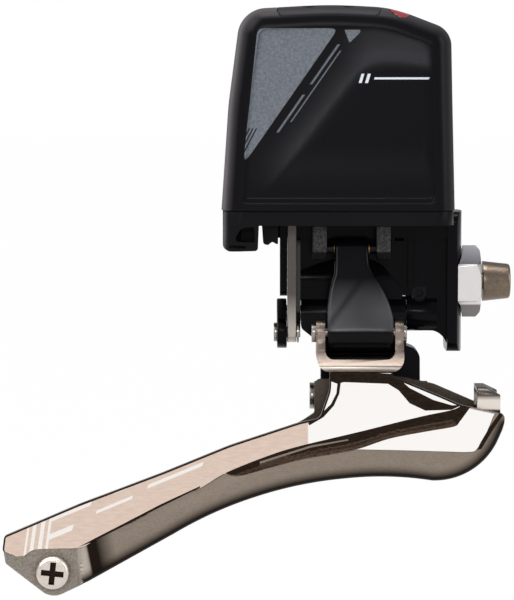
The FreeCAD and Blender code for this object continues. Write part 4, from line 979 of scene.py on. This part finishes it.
def housingCap():
    line = capOutline(0.45)
    run = np.gradient(line, axis=0)
    run /= np.linalg.norm(run, axis=1)[:, None]
    inward = np.stack([run[:, 1], -run[:, 0]], axis=1)
    inward[0] = (1, 0)
    inward[-1] = (-1, 0)
    steps = []
    turns = 20
    for k in range(turns + 1):
        angle = math.pi / 2 * k / turns
        inset = cap["frontRound"] * (1 - math.sin(angle))
        steps.append((inset, cap["front"] + cap["frontRound"] * (1 - math.cos(angle))))
    lidFront, lidBack = cap["lid"][2:]
    for y in (lidFront - 0.09, lidFront + 0.09):
        rise = math.acos(1 - (y - cap["front"]) / cap["frontRound"])
        steps.append((cap["frontRound"] * (1 - math.sin(rise)), y))
    for y in np.arange(cap["front"] + cap["frontRound"] + 0.45, cap["back"] - cap["backRound"], 0.45):
        steps.append((0.0, float(y)))
    steps += [(0.0, lidBack - 0.09), (0.0, lidBack + 0.09)]
    for k in range(11):
        angle = math.pi / 2 * k / 10
        inset = cap["backRound"] * (1 - math.cos(angle))
        steps.append((inset, cap["back"] - cap["backRound"] * (1 - math.sin(angle))))
    steps.sort(key=lambda s: (s[1], s[0] if s[1] > 0 else -s[0]))
    lid = cap["lid"]
    bx, by, br = cap["button"]
    rows = []
    for inset, y in steps:
        ring = line + inward * inset
        sunk = np.zeros(len(line))
        if lid[2] <= y <= lid[3]:
            corner = cap["lidCorner"]
            acrossX = np.maximum(lid[0] + corner - ring[:, 0], ring[:, 0] - lid[1] + corner)
            acrossY = max(lid[2] + corner - y, y - lid[3] + corner)
            outward = np.hypot(np.maximum(acrossX, 0), max(acrossY, 0))
            sunk = np.where((outward < corner) & (ring[:, 1] > 60), cap["lidPocket"], 0)
        away = np.hypot(ring[:, 0] - bx, y - by)
        sunk = np.maximum(sunk, np.where((away < br) & (ring[:, 1] > 60), 0.8, 0))
        moved = ring + inward * sunk[:, None]
        rows.append(np.column_stack([moved[:, 0], np.full(len(line), y), moved[:, 1]]))
    verts = [tuple(v) for row in rows for v in row]
    sunkShare = [0.0] * len(verts)
    creaseSheen = [0.0] * len(verts)
    across = len(line)
    faces = []
    for r in range(len(rows) - 1):
        for i in range(across - 1):
            a = r * across + i
            faces.append((a, a + across, a + across + 1, a + 1))
    for end, kind in ((0, "front"), (len(rows) - 1, "back")):
        ring = np.array(rows[end])
        outline = ring[:, (0, 2)]
        foot = spread(np.array([outline[-1], outline[0]]), 0.8, False)[1:-1]
        outline = np.vstack([outline, foot])
        creases = []
        extra = []
        if kind == "front":
            panel = roundedLine(cap["panel"], 0.6)
            fold = flowLine(cap["crease"], 0.6)
            extra = [offsetLine(panel, d, True) for d in (-0.9, -0.6, -0.3, 0.0, 0.3, 0.6, 0.9)]
        grain = 0.8 if kind == "front" else 1.4
        flat, sheet = sheetMesh(outline, creases, grain, extra)
        y = np.full(len(flat), ring[0][1])
        if kind == "front":
            inPanel = isInside(flat, panel)
            toPanel = distanceTo(flat, panel, True) * np.where(inPanel, 1, -1)
            sink = smooth((toPanel + 0.6) / 1.5) * cap["panelDepth"]
            under = np.vstack([fold, (-60, 10), (0, 10), (0, 52.6)])
            toFold = distanceTo(flat, fold) * np.where(isInside(flat, under), 1, -1)
            fall = smooth((flat[:, 1] - 23) / 12) * smooth(toPanel / 3.0)
            sink += np.where(inPanel, smooth((toFold + 1.4) / 3.2) * cap["creaseDepth"], 0) * fall
            shelf = smooth((-19.5 - flat[:, 0]) / -6.0) * smooth((flat[:, 1] - 54.5) / 2.0)
            sink -= 0.15 * shelf * smooth(toPanel / 3.0)
            y = y + sink
            share = smooth((toPanel + 0.2) / 0.8)
            # painted sheen: lighter along the crease and at the upper right of the panel
            above = np.where(toFold < 0, np.exp(toFold / 2.6), np.exp(-toFold / 0.7))
            sheen = 0.45 * smooth((flat[:, 0] + 32) / 10) * smooth((flat[:, 1] - 52) / 4)
            glow = np.clip(above * smooth((flat[:, 1] - 22) / 14) + sheen, 0, 1) * smooth(toPanel / 2.0)
        else:
            share = np.zeros(len(flat))
            glow = share
        sunkShare += list(share)
        creaseSheen += list(glow)
        start = len(verts)
        verts += [(p[0], d, p[1]) for p, d in zip(flat, y)]
        order = sheet if kind == "front" else sheet[:, ::-1]
        faces += [tuple(start + int(v) for v in f) for f in order]
    piece = addPiece(
        "housingShell", "root", verts, faces, [finishes["housingFront"]],
        replaced=["housing_cap"])
    layer = piece.data.attributes.new("sunk", "FLOAT", "POINT")
    layer.data.foreach_set("value", np.array(sunkShare, np.float32))
    layer = piece.data.attributes.new("fold", "FLOAT", "POINT")
    layer.data.foreach_set("value", np.array(creaseSheen, np.float32))
    weld = piece.modifiers.new("weld", "WELD")
    weld.merge_threshold = 0.00001
    softenEdges(piece, 50)
    return piece


# outer link

link = {
    "top": (-12.0, 8.9, 2.4),  # y, z and radius of the upper barrel
    "foot": (-15.21, -11.35, 5.0),
    "levels": 72,
    "left": [
        (13.0, -31.9), (3.9, -31.9), (1.5, -32.5), (-1.0, -33.1), (-3.4, -33.4), (-6.0, -33.6), (-20.0, -33.6)],
    "right": [
        (13.0, -23.5), (6.3, -23.4), (3.9, -22.7), (1.5, -21.4), (-1.0, -20.0), (-3.4, -18.9), (-5.9, -18.1),
              (-9.0, -17.6), (-20.0, -17.6)],
    "round": 1.0,
}


def hullSide(z, front):
    ty, tz, tr = link["top"]
    fy, fz, fr = link["foot"]
    sign = -1 if front else 1
    away = math.atan2(fz - tz, fy - ty)
    tilt = math.acos((tr - fr) / math.hypot(fy - ty, fz - tz))
    angle = away + tilt * sign
    one = (ty + tr * math.cos(angle), tz + tr * math.sin(angle))
    two = (fy + fr * math.cos(angle), fz + fr * math.sin(angle))
    if z >= one[1]:
        return ty + sign * math.sqrt(max(tr ** 2 - (z - tz) ** 2, 0))
    if z <= two[1]:
        return fy + sign * math.sqrt(max(fr ** 2 - (z - fz) ** 2, 0))
    t = (z - one[1]) / (two[1] - one[1])
    return one[0] + (two[0] - one[0]) * t


def outerLink():
    top = link["top"][1] + link["top"][2]
    foot = link["foot"][1] - link["foot"][2]
    left = np.array(link["left"])[::-1]
    right = np.array(link["right"])[::-1]
    leftLine = flowLine(left, 0.2)
    rightLine = flowLine(right, 0.2)
    rows = []
    for k in range(link["levels"] + 1):
        z = top - (top - foot) * (1 - math.cos(math.pi * k / link["levels"])) / 2
        x0 = float(np.interp(z, leftLine[:, 0], leftLine[:, 1]))
        x1 = float(np.interp(z, rightLine[:, 0], rightLine[:, 1]))
        y0 = hullSide(z, True)
        y1 = hullSide(z, False)
        radius = min(link["round"], (y1 - y0) / 2.05)
        belly = 0.5 * math.exp(-((z + 5.5) / 5.0) ** 2)
        row = []
        for cx, cy, start in ((x1, y0, -90), (x1, y1, 0), (x0, y1, 90), (x0, y0, 180)):
            mx = cx - radius if cx == x1 else cx + radius
            my = cy + radius if cy == y0 else cy - radius
            for step in range(6):
                angle = math.radians(start + 18 * step)
                row.append((mx + radius * math.cos(angle), my + radius * math.sin(angle), z))
        wide = []
        for i, spot in enumerate(row):
            wide.append(spot)
            if i == len(row) - 1:
                for share in np.linspace(0, 1, 12)[1:-1]:
                    a, b = np.array(row[-1]), np.array(row[0])
                    spot = a + (b - a) * share
                    spot[1] += -belly * math.sin(math.pi * share) * 0.3
                    wide.append(tuple(spot))
        rows.append(wide)
    count = len(rows[0])
    verts = [v for row in rows for v in row]
    faces = []
    for r in range(len(rows) - 1):
        for i in range(count):
            j = (i + 1) % count
            faces.append((r * count + i, r * count + j, (r + 1) * count + j, (r + 1) * count + i))
    faces.append(tuple(range(count))[::-1])
    faces.append(tuple(range((len(rows) - 1) * count, len(rows) * count)))
    piece = addPiece(
        "linkOuter", "outer_link_body", verts, faces, [finishes["linkPaintedSheen"]],
        replaced=["outer_link"])
    softenEdges(piece, 60)
    return piece


# carried-over pieces

edgeWidths = {
    "main_body": 0.35, "pivot_blocks": 0.35, "housing_base": 0.3, "inner_link": 0.5, "drive_lever": 0.3,
    "drive_rod": 0.25, "cage_bracket": 0.45, "inner_cage_plate": 0.25, "nose_bridge": 0.3,
    "clamp_washer": 0.5,
    "mount_bolt": 0.15, "lower_outer_pin": 0.2, "lower_inner_pin": 0.3, "lever_pin": 0.2,
    "top_lid": 0.15, "tail_spacer": 0.15, "power_button": 0.2,
}
ownFinish = {
    "inner_link": "gloss", "outer_link": "gloss", "main_body": "gloss", "drive_lever": "leverBlack",
    "nose_bridge": "tab",
}


def dressNodes():
    slots = {row["node"]: row["material_slot"] for row in frame["record"]["subparts"]}
    for node, piece in frame["nodes"].items():
        finish = finishes.get(slots[node], finishes["steel_pin"])
        if node in ownFinish:
            finish = finishes[ownFinish[node]]
        piece.data.materials.clear()
        piece.data.materials.append(finish)
        if node in edgeWidths:
            weld = piece.modifiers.new("weld", "WELD")
            weld.merge_threshold = 0.000002
            bevel = piece.modifiers.new("edge", "BEVEL")
            bevel.width = edgeWidths[node] * mm
            bevel.segments = 3
            bevel.limit_method = "ANGLE"
            bevel.angle_limit = math.radians(38)
            bevel.harden_normals = True
            bevel.use_clamp_overlap = True


# floor

def addFloor():
    finish = Finish("floor")
    speck = finish.noise(0.02, 2.0)
    finish.set(Base_Color=finish.mix(speck, (0.86, 0.86, 0.86), (0.9, 0.9, 0.9)), Roughness=0.7)
    light = finish.make("ShaderNodeEmission", None, {"Color": (1.0, 1.0, 1.0), "Strength": 1.0})
    path = finish.make("ShaderNodeLightPath")
    seen = finish.val(path.outputs["Is Camera Ray"]).op("MAXIMUM", finish.val(path.outputs["Is Glossy Ray"]))
    share = seen.op("MAXIMUM", finish.val(path.outputs["Is Transmission Ray"])) * 0.985
    both = finish.make(
        "ShaderNodeMixShader", None, {0: share, 1: finish.shader.outputs[0], 2: light.outputs[0]})
    finish.fill(finish.output, {0: both.outputs[0]})
    size = 6.0
    height = -0.14
    mesh = bpy.data.meshes.new("floor")
    corners = [(-size, -size, height), (size, -size, height), (size, size, height), (-size, size, height)]
    mesh.from_pydata(corners, [], [(0, 1, 2, 3)])
    mesh.materials.append(finish.material)
    floor = bpy.data.objects.new("floor", mesh)
    bpy.context.scene.collection.objects.link(floor)


def addWorld():
    world = bpy.data.worlds.new("studio")
    bpy.context.scene.world = world
    sky = Nodes(world)
    soft = sky.make("ShaderNodeBackground", None, {0: (0.94, 0.96, 1.0), 1: 0.5})
    white = sky.make("ShaderNodeBackground", None, {0: (1.0, 1.0, 1.0), 1: 1.0})
    path = sky.make("ShaderNodeLightPath")
    seen = sky.val(path.outputs["Is Camera Ray"]).op("MAXIMUM", sky.val(path.outputs["Is Transmission Ray"]))
    both = sky.make("ShaderNodeMixShader", None, {0: seen, 1: soft.outputs[0], 2: white.outputs[0]})
    sky.make("ShaderNodeOutputWorld", None, {0: both.outputs[0]})


addCamera()
addLamps()
addWorld()
addFloor()
print("stage set")
dressNodes()
print("frame pieces dressed")
outerPlate()
print("outer plate made")
housingCap()
print("housing made")
outerLink()
print("outer link made")
